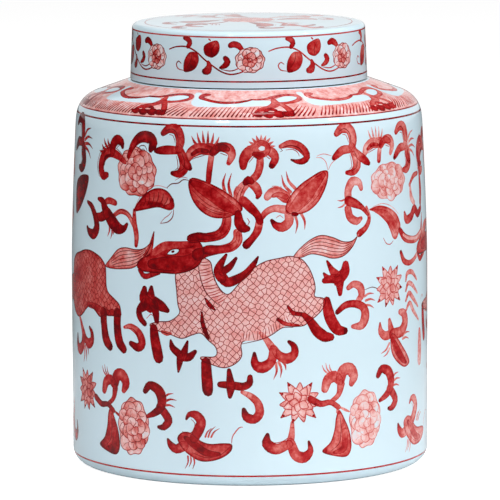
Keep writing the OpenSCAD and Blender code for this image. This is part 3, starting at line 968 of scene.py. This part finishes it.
def whiskers(b):
    """Hair that streams from the chin and brow of the next beast's head."""
    b.stroke((-46.6, 27, 3.4), (-42, 22.6, 4.6), (-35, 20.4, 4.4), (-26, 20, 4), (-17, 23, 4),
             tone=(DEEP, CORAL), edge=0)
    b.stroke((-43, 24, 1.4), (-37, 21.6, 2), (-26, 20.6, 1.6), (-18, 23, 1.4), tone=PINK, edge=0, covers=True)
    b.stroke((-46, 14.6, 2.6), (-43, 9.6, 3.6), (-37, 7.6, 3.2), (-31, 8.6, 2.8), (-25, 11.4, 3),
             tone=(DEEP, ROSE), edge=0.06)
    for k in range(4):
        y = -2 - 4.6 * k
        b.stroke((-40.6, y - k, 1.6), (-39 + k, y + 4 - k, 2.6), (-33 + 0.6 * k, y + 4 - 2.6 * k, 2.8),
                 (-26 + k, y - 1 - 3 * k, 1.4), tone=(CORAL, PINK), edge=0.06)


def beasts(marks):
    """Three running beasts and a standing one round the wall, with the sprigs and flowers near them."""
    base = Brush(marks, lean=LEAN)
    standing_beast(base.to(-103.5, 106))
    runners = ((0, 110, PINK - 0.02, True), (186, 114, PINK + 0.04, False), (351, 110, PINK - 0.02, True))
    for start, z, hide_tone, leads in runners:
        beast = base.to(start, z)
        running_beast(beast, hide_tone)
        beast_sprigs(beast)
        if leads:
            leading_sprigs(beast)
    whiskers(base.to(145, 110))
    anchor(base.to(-117, 73), tone=(CORAL, RED))
    base.line((68, 106.6), (74, 107.6), (80, 106), (88, 107.4), width=0.5, tone=DARK)
    lotus(base.to(88.4, 107), tone=PALE + 0.06)
    base.stroke((57, 108.6, 3), (60.6, 110.4, 4), (65, 108.4, 5), (66, 104, 4.4), (63.6, 101, 3.4),
                tone=CORAL, edge=0.1)
    base.stroke((50, 95.6, 3), (55, 99, 4), (61, 99.4, 4.4), (67, 97, 5), (68.5, 92, 6),
                (66, 87.4, 5), (60, 87, 2.4), tone=(DEEP, CORAL), edge=0.1)
    base.hairs((68, 103, 75, 104), (69, 100.6, 76, 100), (69, 98, 75, 96), width=1.5)
    tufted_pod(base.to(98, 76))
    base.stroke((124, 77.6, 4), (124.4, 70, 6), (124, 61, 6), tone=(CORAL, PINK), edge=0.04)
    for start in (262, -188):
        flame(base.to(start, 96))
        tufted_pod(base.to(start, 70, size=0.9))


# ---------------------------------------------------------------- what is painted on the shoulder

def rocks(b):
    """Dark stones heaped along the foot of the shoulder, with a split stone on top of them."""
    b.stroke((2.6, 221, 4), (3, 216, 6.4), (-1, 212, 5), (-6, 210, 4), (-10, 208, 2),
             tone=(CORAL, RED))
    b.stroke((4.6, 217, 4), (8.6, 212, 4), (10.6, 207.6, 4.4), (10.8, 205.6, 4), tone=(CORAL, DEEP))
    b.stroke((-12, 206, 2), (-4, 206, 2.6), (4, 206, 3), (12, 206.6, 2), tone=(RED, DEEP))
    for x, y, width in ((-9, 206, 4), (-3, 205.6, 4.4), (3.4, 206, 5), (8, 206, 4)):
        b.stroke((x - 1, y, width), (x + 1, y - 0.4, width), tone=DEEP)
    b.stroke((-5, 207, 2), (-2.4, 209.6, 2.6), (2, 208.8, 2), tone=(RED, DEEP))


def shoulder_gap(b):
    """The bare glaze between the hatching and the cloud."""
    b.patch((22.4, 229), (27.4, 229), (27, 224), (33, 220), (40, 217.6), (48, 216.4), (56, 217),
            (62, 218.6), (65.5, 220.6), (78, 219.6), (80, 215), (70, 213.2), (58, 212.6), (46, 212.2),
            (36, 211.6), (29, 212.6), (25, 217), (24.6, 223), tone=0.03, edge=0, covers=True)


def shoulder_cloud(b):
    """One of eight units round the shoulder: stones, a hatched hill and a cloud with a loop."""
    b.patch((0.6, 219), (6, 222.4), (12, 224.8), (19, 224.4), (21, 221.6), (14, 218), (6, 216.6),
            tone=0.03, edge=0, covers=True)
    for k in range(6):
        x = 9 + 2.9 * k
        b.stroke((x, 204.2, 1.0), (x + 5 - 0.5 * k, 209 - 0.4 * k, 0.8), (x + 9 - k, 214 - 0.9 * k, 0.4),
                 tone=(DEEP, CORAL), edge=0)
    for k in range(16):
        x = 29 + 2.5 * k
        b.stroke((x, 204.2, 1.0), (x + 1.8, 207.4, 0.7), (x + 3.8, 211.4 + 0.7 * math.sin(k), 0.4),
                 tone=(DEEP, CORAL), edge=0)
    rocks(b)
    b.stroke((-13, 221.4, 1.8), (-4, 221.8, 2.4), (4, 224.6, 3), (12, 226.4, 2.8), (19.6, 225.8, 3.4),
             (22, 222.6, 3.8), (19, 219.4, 3.4), (12, 217, 2.8), (4, 216.4, 3), tone=(RED, CORAL), edge=0.14)
    b.stroke((34, 227, 3), (30.4, 226.2, 4.8), (29.4, 223.6, 4), (34, 221, 2.8), (41, 218.6, 2.8),
             (48, 217.4, 3), (56, 218, 2.8), (62, 219.6, 2.2), (66, 221.4, 1.8), tone=(CORAL, RED),
             edge=0.14)


def shoulder_band(marks, limits):
    """Rings, a rosy wash and eight cloud units between the wall and the ledge."""
    base = Brush(marks)
    for low, high, tone in ((197.9, 198.9, RED + 0.04), (202.1, 202.8, RED), (202.8, 233.0, PINK)):
        ring(marks, low, high, limits, tone)
    turns = 8
    width = 2 * math.pi * JAR_R / turns
    units = [base.to(14.4 + turn * width, 0) for turn in range(-turns // 2, turns // 2)]
    for unit in units:
        shoulder_gap(unit)
    for unit in units:
        shoulder_cloud(unit)


def wall_marks():
    """Every mark on the jar's outside, in the order of painting."""
    limits = (-math.pi * JAR_R, math.pi * JAR_R)
    marks = []
    ring(marks, 5.9, 6.9, limits, CORAL + 0.05)
    upper_row(marks)
    lower_row(marks)
    beasts(marks)
    shoulder_band(marks, limits)
    return marks


# ---------------------------------------------------------------- what is painted on the lid

def vine(b):
    """One flower of the lid's vine, with the stem and leaves that reach the next."""
    peony(b.to(-0.4, 231.6), wide=8.6, tall=7.4, tone=PALE + 0.04, outline=DEEP, seed=5, heart=ROSE + 0.04,
          petals=BUTTON, line=0.4)
    b.stroke((10, 236.4, 0.7), (15, 238, 0.8), (22, 238.3, 0.9), (28, 235.8, 0.9), (33, 231.8, 0.9),
             (38, 228.3, 0.9), (43, 225.2, 0.9), (48, 223.8, 0.9), (53, 224.6, 0.8), (57, 226.3, 0.8),
             tone=RED, edge=0)
    b.line((43, 226.4), (49, 225.8), (56, 228.8), width=0.7, tone=RED)
    b.patch((26.6, 235.8), (29.2, 234.4), (29.8, 230.8), (28, 226.8), (24.6, 224.8), (20.5, 224.6),
            (20.3, 229.6), (22, 233.4), (24, 235.4), tone=(RED, DEEP), edge=0.06, soft=1.5)
    b.line((25.4, 235), (25, 231), (22.4, 227), width=0.35, tone=DARK)
    b.line((20.4, 225.2), (16.6, 226), (15.3, 228.4), (16.8, 230.2), (18.6, 229), width=0.7, tone=RED)
    b.stroke((20.4, 243, 2), (23, 242.3, 3.4), (24, 240.3, 3.2), (22.8, 238.4, 2.4), tone=(RED, DEEP))
    b.patch((37, 232.8), (33.4, 234.4), (32.6, 238.6), (35.4, 241), (40.4, 242.3), (42, 239),
            (41.2, 235.3), (39, 233.4), tone=(DEEP, RED), edge=0.06, soft=1.5)
    b.line((37.6, 233.6), (37.4, 237), (39.4, 240.6), width=0.35, tone=DARK)
    b.stroke((35.4, 230.3, 2), (36, 228.3, 3.2), (35, 225.8, 4.6), (33.4, 225.2, 3.6), tone=(RED, DEEP))
    b.stroke((45.2, 232.6, 3), (46.4, 230.8, 3.6), (45, 228.6, 3.2), (42.4, 227.4, 1.6), tone=(DEEP, RED))
    b.stroke((48, 239.6, 3), (50, 240.3, 3.8), (52.5, 239.4, 3.6), (54.4, 237.4, 2.4), tone=(DEEP, RED))
    b.stroke((35.6, 243, 0.8), (36.6, 242.2, 0.8), tone=CORAL)


def lid_side_marks(limits):
    """Every mark on the side of the lid."""
    marks = []
    # The lowest ring is painted shadow, the dark line of the gap under the lid; the other two are red lines
    for low, high, tone in ((LEDGE_Z - 0.8, LEDGE_Z + 0.7, GAP_SHADE), (219.3, 220.2, RED), (243.7, 244.5, CORAL)):
        ring(marks, low, high, limits, tone)
    base = Brush(marks)
    turns = 7
    width = (limits[1] - limits[0]) / turns
    for turn in range(-(turns // 2), turns // 2 + 1):
        vine(base.to(1.1 + turn * width, 0))
    return marks


def crown_marks():
    """Every mark on the top of the lid, seen from above with the front at the bottom."""
    marks = []
    b = Brush(marks)
    ring_r = 58
    for start in (0, 180):
        turns = np.radians(start + np.linspace(0, 180, 19))
        b.line(*[(ring_r * math.cos(a), ring_r * math.sin(a)) for a in turns], width=0.8, tone=RED)
    peony(b, wide=15, tall=15, tone=ROSE, outline=RED, seed=6)
    for k in range(4):
        arm = b.to(0, 0, turn=90 * k + 12)
        bean(arm.to(15, -3, turn=-6, size=0.9))
        arm.stroke((13, 6, 2), (19, 13, 3), (27, 15, 3), (36, 11, 2), tone=(CORAL, RED))
        trident(arm.to(38, 24, turn=-70, size=0.8))
        comma(arm.to(44, 4, turn=-60, size=0.8))
        hair_groups(arm, (24, 17, 24, 26))
    return marks


# ---------------------------------------------------------------- painted sheets

def laid_round(marks, limits):
    """The marks within the sheet's limits; those that cross its seam are laid at both sides."""
    period = limits[1] - limits[0]
    out = []
    for mark in marks:
        for offset in (-period, 0, period):
            left, right = mark.outline[:, 0].min() + offset, mark.outline[:, 0].max() + offset
            if right > limits[0] + 0.01 and left < limits[1] - 0.01:
                out.append(mark.shifted(offset) if offset else mark)
    return out


def cut(points, border, marks, keep):
    """Cuts a sheet into triangles along its border and marks; keep says which centres count.

    Returns the points and the triangles, wound the same way.
    """
    places = [points]
    edges = []
    count = len(points)
    for outline in [border] + [mark.outline for mark in marks]:
        index = np.arange(count, count + len(outline))
        places.append(outline)
        edges.append(np.column_stack([index, np.roll(index, -1)]))
        count += len(outline)
    places.extend(mark.spine[1:-1:2] for mark in marks if mark.soft > 0.9)
    places = np.vstack(places)
    made = geometry.delaunay_2d_cdt([Vector(place) for place in places], np.vstack(edges).tolist(),
                                    [], 0, TOUCH, True)
    points = np.array([tuple(p) for p in made[0]])
    for index, sources in enumerate(made[3]):
        if len(sources):
            points[index] = places[min(sources)]
    triangles = np.array(made[2])
    a, b, c = (points[triangles[:, i]] for i in range(3))
    area = (b[:, 0] - a[:, 0]) * (c[:, 1] - a[:, 1]) - (b[:, 1] - a[:, 1]) * (c[:, 0] - a[:, 0])
    triangles[area < 0] = triangles[area < 0][:, ::-1]
    good = keep((a + b + c) / 3)
    return points, triangles[good]


def paint(points, triangles, marks):
    """Pigment, distance from the edge and hide at triangle corners, laid down mark by mark."""
    pigment = np.zeros((len(triangles), 3))
    rim = np.zeros((len(triangles), 3))
    hide = np.zeros((len(triangles), 3))
    centres = points[triangles].mean(1)
    order = centres[:, 0].argsort()
    across = centres[order, 0]
    for mark in marks:
        low, high = mark.outline.min(0), mark.outline.max(0)
        first, last = np.searchsorted(across, (low[0], high[0]))
        near = order[first:last]
        near = near[(centres[near, 1] > low[1]) & (centres[near, 1] < high[1])]
        inside = near[mark.holds(centres[near])]
        if not len(inside):
            continue
        used, corner = np.unique(triangles[inside], return_inverse=True)
        tone, away = (value[corner].reshape(-1, 3) for value in mark.tone_at(points[used]))
        wins = np.full(tone.shape, mark.covers) | (tone.mean(1) > pigment[inside].mean(1))[:, None]
        pigment[inside] = np.where(wins, tone, pigment[inside])
        rim[inside] = np.where(wins, away, rim[inside])
        if mark.hide is not None:
            hide[inside] = mark.hide
        elif mark.covers or mark.tones.max() > PINK + 0.1:
            hide[inside] = 0
    return pigment, rim, hide


class Patch:
    """A stretch of skin: points in metres, triangles, and what each corner carries."""

    def __init__(self, places, normals, sheet, triangles, paints=None, bare=False):
        self.places = places
        self.normals = normals[triangles]
        self.sheet = sheet[triangles]
        self.triangles = triangles
        self.pigment, self.rim, self.hide = paints or [np.zeros(triangles.shape)] * 3
        self.bare = np.full(len(triangles), bare)


def turned_sheet(profile, rows, radius, seam, marks):
    """A painted sheet wrapped on a turned profile; radius sets how x runs round the axis."""
    limits = (seam - 2 * math.pi * radius, seam)
    marks = laid_round(marks, limits)
    columns = np.linspace(*limits, COLUMNS + 1)
    grid = np.array([(x, y) for y in rows for x in columns])
    low, high = rows[0], rows[-1]
    border = np.vstack([np.column_stack([columns, np.full_like(columns, low)]),
                        np.column_stack([columns, np.full_like(columns, high)])[::-1]])
    points, triangles = cut(grid, border, marks,
                            lambda centres: (centres[:, 0] > limits[0]) & (centres[:, 0] < limits[1]))
    sides = [np.nonzero(np.abs(points[:, 0] - limit) < TOUCH)[0] for limit in limits]
    sides = [side[points[side, 1].argsort()] for side in sides]
    for side, limit in zip(sides, limits):
        points[side, 0] = limit
    if len(sides[0]) == len(sides[1]):
        points[sides[1], 1] = points[sides[0], 1]
    places, normals = revolve(points[:, 0] / radius, *profile.at(points[:, 1]))
    return Patch(places, normals, points, triangles, paint(points, triangles, marks))


def lathe(points, seam_angle, bare=False):
    """Plain skin turned from a profile outline."""
    profile = Profile(points)
    angles = np.linspace(seam_angle - 2 * math.pi, seam_angle, COLUMNS + 1)
    rows = len(profile.along)
    angle, row = np.meshgrid(angles, np.arange(rows))
    outline = (profile.points[:, 0], profile.points[:, 1], profile.normals[:, 0], profile.normals[:, 1])
    places, normals = revolve(angle.ravel(), *(column[row.ravel()] for column in outline))
    sheet = np.column_stack([angle.ravel() * PLAIN_SHEET_R, profile.along[row.ravel()]])
    wide = COLUMNS + 1
    a = (np.arange(rows - 1)[:, None] * wide + np.arange(COLUMNS)).ravel()
    triangles = np.vstack([np.column_stack([a, a + 1, a + wide + 1]),
                           np.column_stack([a, a + wide + 1, a + wide])])
    return Patch(places, normals, sheet, triangles, bare=bare)


def weld(patches):
    """Joins patches where they meet: points, triangles, and which triangles of the patches are left."""
    places = np.vstack([patch.places for patch in patches])
    first = np.cumsum([0] + [len(patch.places) for patch in patches])
    triangles = np.vstack([patch.triangles + start for patch, start in zip(patches, first)])
    _, kept, shared = np.unique(np.round(places * 1e7).astype(np.int64), axis=0,
                                return_index=True, return_inverse=True)
    triangles = shared.reshape(-1)[triangles]
    a, b, c = triangles.T
    good = (a != b) & (b != c) & (c != a)
    return places[kept], triangles[good], good


def build_skin(name, patches, materials):
    """One closed mesh object of the patches, with smooth normals from their profiles."""
    places, triangles, good = weld(patches)
    mesh = bpy.data.meshes.new(name)
    mesh.from_pydata(places.tolist(), [], triangles.tolist())

    def corners(field):
        return np.concatenate([getattr(patch, field) for patch in patches])[good]

    for field in ("pigment", "rim", "hide"):
        layer = mesh.attributes.new(field, "FLOAT", "CORNER")
        layer.data.foreach_set("value", corners(field).ravel().astype(np.float32))
    sheet = corners("sheet").reshape(-1, 2)
    layer = mesh.attributes.new("sheet", "FLOAT_VECTOR", "CORNER")
    layer.data.foreach_set("vector", np.pad(sheet, ((0, 0), (0, 1))).ravel().astype(np.float32))
    for material in materials:
        mesh.materials.append(material)
    mesh.polygons.foreach_set("material_index", corners("bare").astype(np.int32))
    mesh.polygons.foreach_set("use_smooth", np.ones(len(triangles), bool))
    mesh.update()
    mesh.normals_split_custom_set(corners("normals").reshape(-1, 3).tolist())
    skin = bpy.data.objects.new(name, mesh)
    bpy.context.scene.collection.objects.link(skin)
    return skin


# ---------------------------------------------------------------- the two pieces of porcelain

def jar_outside(seam_angle):
    """The painted outside of the jar, from where it stands up to the ledge."""
    foot = arc((JAR_R - EDGE_R, EDGE_R), EDGE_R, -90, 0, 24)
    outline = np.vstack([foot, side_points(0, 24), [[LEDGE_R, LEDGE_Z]]])
    profile = Profile(outline, EDGE_R * math.pi / 2, EDGE_R)
    bottom, top = profile.along[0], profile.along[-1]
    turn_top = top - (SHOULDER_TOP_R - LEDGE_R) / math.cos(math.radians(SHOULDER_SLOPE))
    rows = [bottom]
    for end, count in ((EDGE_R, 9), (WALL_H, 36), (turn_top, 20), (top, 7)):
        rows.extend(np.linspace(rows[-1], end, count)[1:])
    return turned_sheet(profile, rows, JAR_R, seam_angle * JAR_R, wall_marks())


def jar_plain_outlines(foot_in):
    """The unpainted stretches: ledge, neck, inside, recess and the inner side of the foot ring."""
    bore_r = NECK_R - NECK_T
    lip = arc((NECK_R - NECK_T / 2, NECK_TOP_Z - NECK_T / 2), NECK_T / 2, 0, 180, 16)
    under = side_points(WALL_T, 24)[::-1]
    root_z = under[0][1] + (under[0][0] - bore_r) * math.tan(math.radians(SHOULDER_SLOPE))
    corner = arc((JAR_R - WALL_T - FLOOR_CORNER_R, FLOOR_Z + FLOOR_CORNER_R), FLOOR_CORNER_R, 0, -90)
    foot_turn = arc((foot_in + FOOT_ROUND, FOOT_ROUND), FOOT_ROUND, 180, 270, 6)
    return [
        [(LEDGE_R, LEDGE_Z), (NECK_R, LEDGE_Z)],
        np.vstack([[(NECK_R, LEDGE_Z)], lip, [(bore_r, root_z)]]),
        np.vstack([[(bore_r, root_z)], under, corner, [(30, FLOOR_Z), (0, FLOOR_Z)]]),
        [(0, RECESS_H), (40, RECESS_H), (foot_in, RECESS_H)],
        np.vstack([[(foot_in, RECESS_H)], foot_turn]),
    ]


def make_jar(materials):
    """The jar: painted outside, plain ledge, neck and inside, and a bare foot ring.

    The seam of its sheets runs down the back.
    """
    seam_angle = math.radians(154)
    foot_in = JAR_R - EDGE_R - FOOT_W
    plain = [lathe(outline, seam_angle) for outline in jar_plain_outlines(foot_in)]
    contact = lathe([(foot_in + FOOT_ROUND, 0), (JAR_R - EDGE_R, 0)], seam_angle, bare=True)
    return build_skin("jar_skin", [jar_outside(seam_angle), *plain, contact], materials)


def crown_height(radius):
    """Height of the lid's domed top."""
    return LID_TOP_Z - LID_DOME * (radius / CROWN_R) ** 2


def make_crown(seam_angle):
    """The painted top of the lid."""
    angles = np.linspace(seam_angle - 2 * math.pi, seam_angle, COLUMNS + 1)[:-1]
    border = CROWN_R * np.column_stack([np.sin(angles), -np.cos(angles)])
    side_light_shift = ((1, 0.93), (1, 0.86), (3, 0.76), (4, 0.64), (6, 0.5), (10, 0.36), (15, 0.2))
    rings = [border] + [border[::every] * share for every, share in side_light_shift]
    marks = crown_marks()
    points, triangles = cut(np.vstack(rings), border, marks, lambda centres: np.full(len(centres), True))
    radius = np.hypot(points[:, 0], points[:, 1])
    fall = 2 * LID_DOME * radius / CROWN_R ** 2
    normals = unit(np.column_stack([unit(points) * fall[:, None], np.ones(len(points))]))
    places = np.column_stack([points, crown_height(radius)]) * MM
    return Patch(places, normals, points, triangles, paint(points, triangles, marks))


def make_lid(materials):
    """The lid: painted side and top, plain underside and inside."""
    seam_angle = math.pi
    rim = arc((LID_R - LID_RIM_ROUND, LEDGE_Z + LID_RIM_ROUND), LID_RIM_ROUND, -90, 0, 6)
    edge_z = crown_height(CROWN_R) - LID_EDGE_R
    edge = arc((CROWN_R, edge_z), LID_EDGE_R, 0, 90, 12)
    rim_length = LID_RIM_ROUND * math.pi / 2
    profile = Profile(np.vstack([rim, edge]), rim_length, LEDGE_Z + LID_RIM_ROUND)
    rim_rows, side_ends, edge_rows = np.split(profile.along, (len(rim) - 1, len(rim) + 1))
    rows = np.concatenate([rim_rows, np.linspace(*side_ends, 12), edge_rows])
    limits = (-math.pi * LID_SHEET_R, math.pi * LID_SHEET_R)
    side = turned_sheet(profile, rows, LID_SHEET_R, limits[1], lid_side_marks(limits))
    in_r = LID_R - LID_T
    under_z = LID_TOP_Z - LID_TOP_T
    corner = arc((in_r - LID_CORNER_R, under_z - LID_CORNER_R), LID_CORNER_R, 90, 0, 12)
    rim_in = arc((in_r + LID_RIM_ROUND, LEDGE_Z + LID_RIM_ROUND), LID_RIM_ROUND, 180, 270, 6)
    inside = lathe(np.vstack([[(0, under_z), (30, under_z)], corner, rim_in]), seam_angle)
    seat = lathe([(in_r + LID_RIM_ROUND, LEDGE_Z), (LID_R - LID_RIM_ROUND, LEDGE_Z)], seam_angle, bare=True)
    return build_skin("lid_skin", [side, make_crown(seam_angle), inside, seat], materials)


# ---------------------------------------------------------------- materials

def srgb(red, green, blue):
    """A colour given as 0 to 255 values, as the renderer's linear colour."""
    def one(value):
        value /= 255
        return value / 12.92 if value <= 0.04045 else ((value + 0.055) / 1.055) ** 2.4
    return (one(red), one(green), one(blue), 1)


class Nodes:
    """A short way to put together the nodes of a material."""

    def __init__(self, name):
        self.material = bpy.data.materials.new(name)
        self.material.use_nodes = True
        self.tree = self.material.node_tree
        self.tree.nodes.clear()

    def add(self, kind, inputs=(), **settings):
        """A new node with its settings, and its inputs as sockets or plain values."""
        node = self.tree.nodes.new(kind)
        for key, value in settings.items():
            setattr(node, key, value)
        for key, value in dict(inputs).items():
            if isinstance(value, bpy.types.NodeSocket):
                self.tree.links.new(value, node.inputs[key])
            else:
                node.inputs[key].default_value = value
        return node

    def calc(self, operation, a, b):
        """The result of one sum."""
        return self.add("ShaderNodeMath", {0: a, 1: b}, operation=operation).outputs[0]

    def step(self, value, low, high, out_low=0.0, out_high=1.0):
        """A smooth step from out_low to out_high as value goes from low to high."""
        node = self.add("ShaderNodeMapRange", {"Value": value, "From Min": low, "From Max": high,
                                               "To Min": out_low, "To Max": out_high},
                        interpolation_type="SMOOTHSTEP")
        return node.outputs["Result"]

    def noise(self, vector, scale, detail=3.0, rough=0.5):
        """Soft noise from 0 to 1."""
        node = self.add("ShaderNodeTexNoise", {"Vector": vector, "Scale": scale, "Detail": detail,
                                               "Roughness": rough})
        return node.outputs["Fac"]

    def blend(self, factor, first, second, **settings):
        """A mix of two colours."""
        node = self.add("ShaderNodeMix", {"Factor": factor, "A": first, "B": second}, data_type="RGBA",
                        **settings)
        return node.outputs["Result"]

    def finish(self, **inputs):
        """The shader that ends the material."""
        named = {key.replace("_", " "): value for key, value in inputs.items()}
        shader = self.add("ShaderNodeBsdfPrincipled", named)
        self.add("ShaderNodeOutputMaterial", {"Surface": shader.outputs["BSDF"]})
        return self.material


# Colour of the glaze under growing amounts of iron red
PIGMENT_COLOURS = (
    (0.00, (218, 239, 249)), (0.05, (218, 239, 249)), (PALE, (243, 207, 206)),
    (PINK, (238, 177, 173)), (ROSE, (226, 133, 127)), (CORAL, (206, 80, 75)),
    (RED, (184, 30, 34)), (DEEP, (152, 4, 10)), (DARK, (110, 3, 12)), (1.00, (98, 3, 10)),
)


def brushed_tone(n, sheet, pigment, rim, hide):
    """Pigment made uneven by washes, streaks and pooled edges; a hide stays calmer."""
    painted = n.step(pigment, 0.06, 0.22)
    wash = n.calc("SUBTRACT", n.noise(sheet, 0.16, 3, 0.55), 0.5)
    streaks = n.calc("SUBTRACT", n.noise(sheet, 0.5, 4, 0.65), 0.5)
    uneven = n.calc("ADD", n.calc("MULTIPLY", wash, 0.62), n.calc("MULTIPLY", streaks, 0.42))
    ragged = n.calc("ADD", rim, n.calc("MULTIPLY", streaks, 0.9))
    pooled = n.calc("MULTIPLY", n.step(ragged, 0.1, 0.6, 1, 0), n.step(pigment, 0.3, 0.6, 0.04, 0.16))
    uneven = n.calc("MULTIPLY", n.calc("ADD", uneven, pooled), n.step(hide, 0, 1, 1, 0.6))
    return n.calc("ADD", pigment, n.calc("MULTIPLY", uneven, painted))


def scale_outlines(n, sheet, hide):
    """The pigment in the outlines of the scales on a hide, which lie in slanting rows."""
    slanted = n.add("ShaderNodeVectorRotate", {"Vector": sheet, "Angle": math.radians(40)},
                    rotation_type="Z_AXIS").outputs["Vector"]
    edge = n.add("ShaderNodeTexVoronoi", {"Vector": slanted, "Scale": SCALE_RATE, "Randomness": 0.5},
                 voronoi_dimensions="2D", feature="DISTANCE_TO_EDGE").outputs["Distance"]
    outline = n.step(edge, 0.02, 0.085, 1, 0)
    return n.calc("MULTIPLY", hide, n.calc("MULTIPLY", outline, 0.62))


def iron_red(n, tone):
    """The colour of an amount of pigment on the glaze."""
    ramp = n.add("ShaderNodeValToRGB", {"Fac": tone})
    stops = ramp.color_ramp.elements
    while len(stops) < len(PIGMENT_COLOURS):
        stops.new(0.5)
    for stop, (amount, colour) in zip(stops, PIGMENT_COLOURS):
        stop.position = amount
        stop.color = srgb(*colour)
    return ramp.outputs["Color"]


def painted_glaze(name):
    """Glossy pale-blue glaze over iron-red painting, with a painted shadow in the gap under the lid."""
    n = Nodes(name)
    sheet = n.add("ShaderNodeAttribute", attribute_name="sheet").outputs["Vector"]
    pigment, rim, hide = (n.add("ShaderNodeAttribute", attribute_name=field).outputs["Fac"]
                          for field in ("pigment", "rim", "hide"))
    place = n.add("ShaderNodeTexCoord").outputs["Object"]
    tone = n.calc("ADD", brushed_tone(n, sheet, pigment, rim, hide), scale_outlines(n, sheet, hide))
    drift = n.blend(n.noise(place, 9, 2), (0.96, 0.98, 1, 1), (1, 1, 0.985, 1))
    colour = n.blend(1.0, iron_red(n, tone), drift, blend_type="MULTIPLY")
    # Painted shadow: pigment past every red turns to the dark grey of the gap under the lid
    in_gap_shade = n.step(pigment, GAP_SHADE - 0.3, GAP_SHADE - 0.2)
    colour = n.blend(in_gap_shade, colour, srgb(38, 42, 48))
    ripple = n.noise(place, 60, 2)
    bump = n.add("ShaderNodeBump", {"Height": ripple, "Strength": 0.1, "Distance": 0.0006})
    gloss = n.step(pigment, 0.1, 0.9, 0.06, 0.1)
    return n.finish(Base_Color=colour, Roughness=gloss, Specular_IOR_Level=0.22,
                    Normal=bump.outputs["Normal"])


def bare_clay(name):
    """The matt, faintly sandy clay where the glaze was wiped away."""
    n = Nodes(name)
    place = n.add("ShaderNodeTexCoord").outputs["Object"]
    colour = n.blend(n.noise(place, 400, 4, 0.7), srgb(222, 212, 196), srgb(240, 235, 226))
    bump = n.add("ShaderNodeBump", {"Height": n.noise(place, 1500, 3, 0.7), "Strength": 0.4,
                                    "Distance": 0.0002})
    return n.finish(Base_Color=colour, Roughness=0.8, Normal=bump.outputs["Normal"])


# ---------------------------------------------------------------- studio

def make_camera():
    """A long lens a little above the lid, as the jar is seen."""
    data = bpy.data.cameras.new("camera")
    data.sensor_width = 36
    data.lens = 387.2
    data.shift_x = 0.001
    camera = bpy.data.objects.new("camera", data)
    bpy.context.scene.collection.objects.link(camera)
    pitch, roll = math.radians(7.39), math.radians(-0.24)
    turn = Euler((math.pi / 2 - pitch, 0, 0)).to_matrix() @ Euler((0, 0, roll)).to_matrix()
    camera.matrix_world = turn.to_4x4()
    camera.location = (0, -3.0, 0.5074)
    bpy.context.scene.camera = camera


def soft_light(name, azimuth, elevation, distance, size, power, mirrored=True):
    """A softbox that faces the middle of the jar; the glaze shows its shape where mirrored."""
    data = bpy.data.lights.new(name, "AREA")
    data.shape = "RECTANGLE"
    data.size, data.size_y = size
    data.energy = power
    light = bpy.data.objects.new(name, data)
    a, e = math.radians(azimuth), math.radians(elevation)
    aim = Vector((0, 0, 0.13))
    away = Vector((math.sin(a) * math.cos(e), -math.cos(a) * math.cos(e), math.sin(e)))
    light.location = aim + away * distance
    light.rotation_euler = away.to_track_quat("Z", "Y").to_euler()
    light.visible_glossy = mirrored
    bpy.context.scene.collection.objects.link(light)


def make_floor():
    """A pale table that glows just enough to look white, without lighting the porcelain.

    Its own colour is palest near the jar and falls off outwards, so that the glaze mirrors
    a dim room; the glow keeps the table white to the eye.
    """
    bpy.ops.mesh.primitive_plane_add(size=30)
    floor = bpy.context.object
    floor.name = "floor"
    n = Nodes("white_table")
    place = n.add("ShaderNodeTexCoord").outputs["Object"]
    away = n.add("ShaderNodeVectorMath", {0: place}, operation="LENGTH").outputs["Value"]
    pale = n.step(away, 0.2, 0.6, 0.8, 0.2)
    floor.data.materials.append(n.finish(Base_Color=pale, Roughness=0.9, Specular_IOR_Level=0.0,
                                         Emission_Color=(1, 1, 1, 1), Emission_Strength=0.92))
    lit_by_floor = bpy.data.collections.new("lit_by_floor")
    floor.light_linking.receiver_collection = lit_by_floor
    lit_by_floor.objects.link(floor)


def make_surround():
    """A world that is pale at the level of the eye, dim overhead and dimmer to the left."""
    world = bpy.data.worlds.new("surround")
    world.use_nodes = True
    tree = world.node_tree
    split = tree.nodes.new("ShaderNodeSeparateXYZ")
    tree.links.new(tree.nodes.new("ShaderNodeTexCoord").outputs["Generated"], split.inputs["Vector"])
    strength = tree.nodes.new("ShaderNodeMath")
    strength.operation = "MULTIPLY"
    limits = ("From Min", "From Max", "To Min", "To Max")
    fades = (("Z", (0.1, 0.34, 0.78, 0.22)), ("X", (-0.9, -0.1, 0.7, 1.0)))
    for socket, (axis, values) in zip(strength.inputs, fades):
        fade = tree.nodes.new("ShaderNodeMapRange")
        fade.interpolation_type = "SMOOTHSTEP"
        for limit, value in zip(limits, values):
            fade.inputs[limit].default_value = value
        tree.links.new(split.outputs[axis], fade.inputs["Value"])
        tree.links.new(fade.outputs["Result"], socket)
    background = tree.nodes["Background"]
    tree.links.new(strength.outputs["Value"], background.inputs["Strength"])
    background.inputs["Color"].default_value = (1, 1, 1, 1)
    bpy.context.scene.world = world


def make_studio():
    """The table, the surround, two softboxes in front, a strip overhead and a weak one behind."""
    make_floor()
    make_surround()
    soft_light("key_light", -20, 45, 2.6, (0.3, 0.26), 32)
    soft_light("right_light", 66, 38, 2.6, (0.2, 0.3), 34)
    soft_light("top_light", 22, 84, 1.8, (0.4, 0.26), 3.5)
    soft_light("back_light", 190, 30, 2.6, (0.8, 0.6), 12, mirrored=False)
    bpy.context.scene.view_settings.view_transform = "Standard"


def main():
    """Builds both skins, lets them ride on the frame, and sets the studio round them."""
    clay = bare_clay("bare_clay")
    jar = make_jar([painted_glaze("glazed_porcelain"), clay])
    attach(jar, "jar")
    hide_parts("jar_body")
    lid = make_lid([painted_glaze("glazed_porcelain_lid"), clay])
    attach(lid, "lid")
    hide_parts("lid")
    make_camera()
    make_studio()


main()
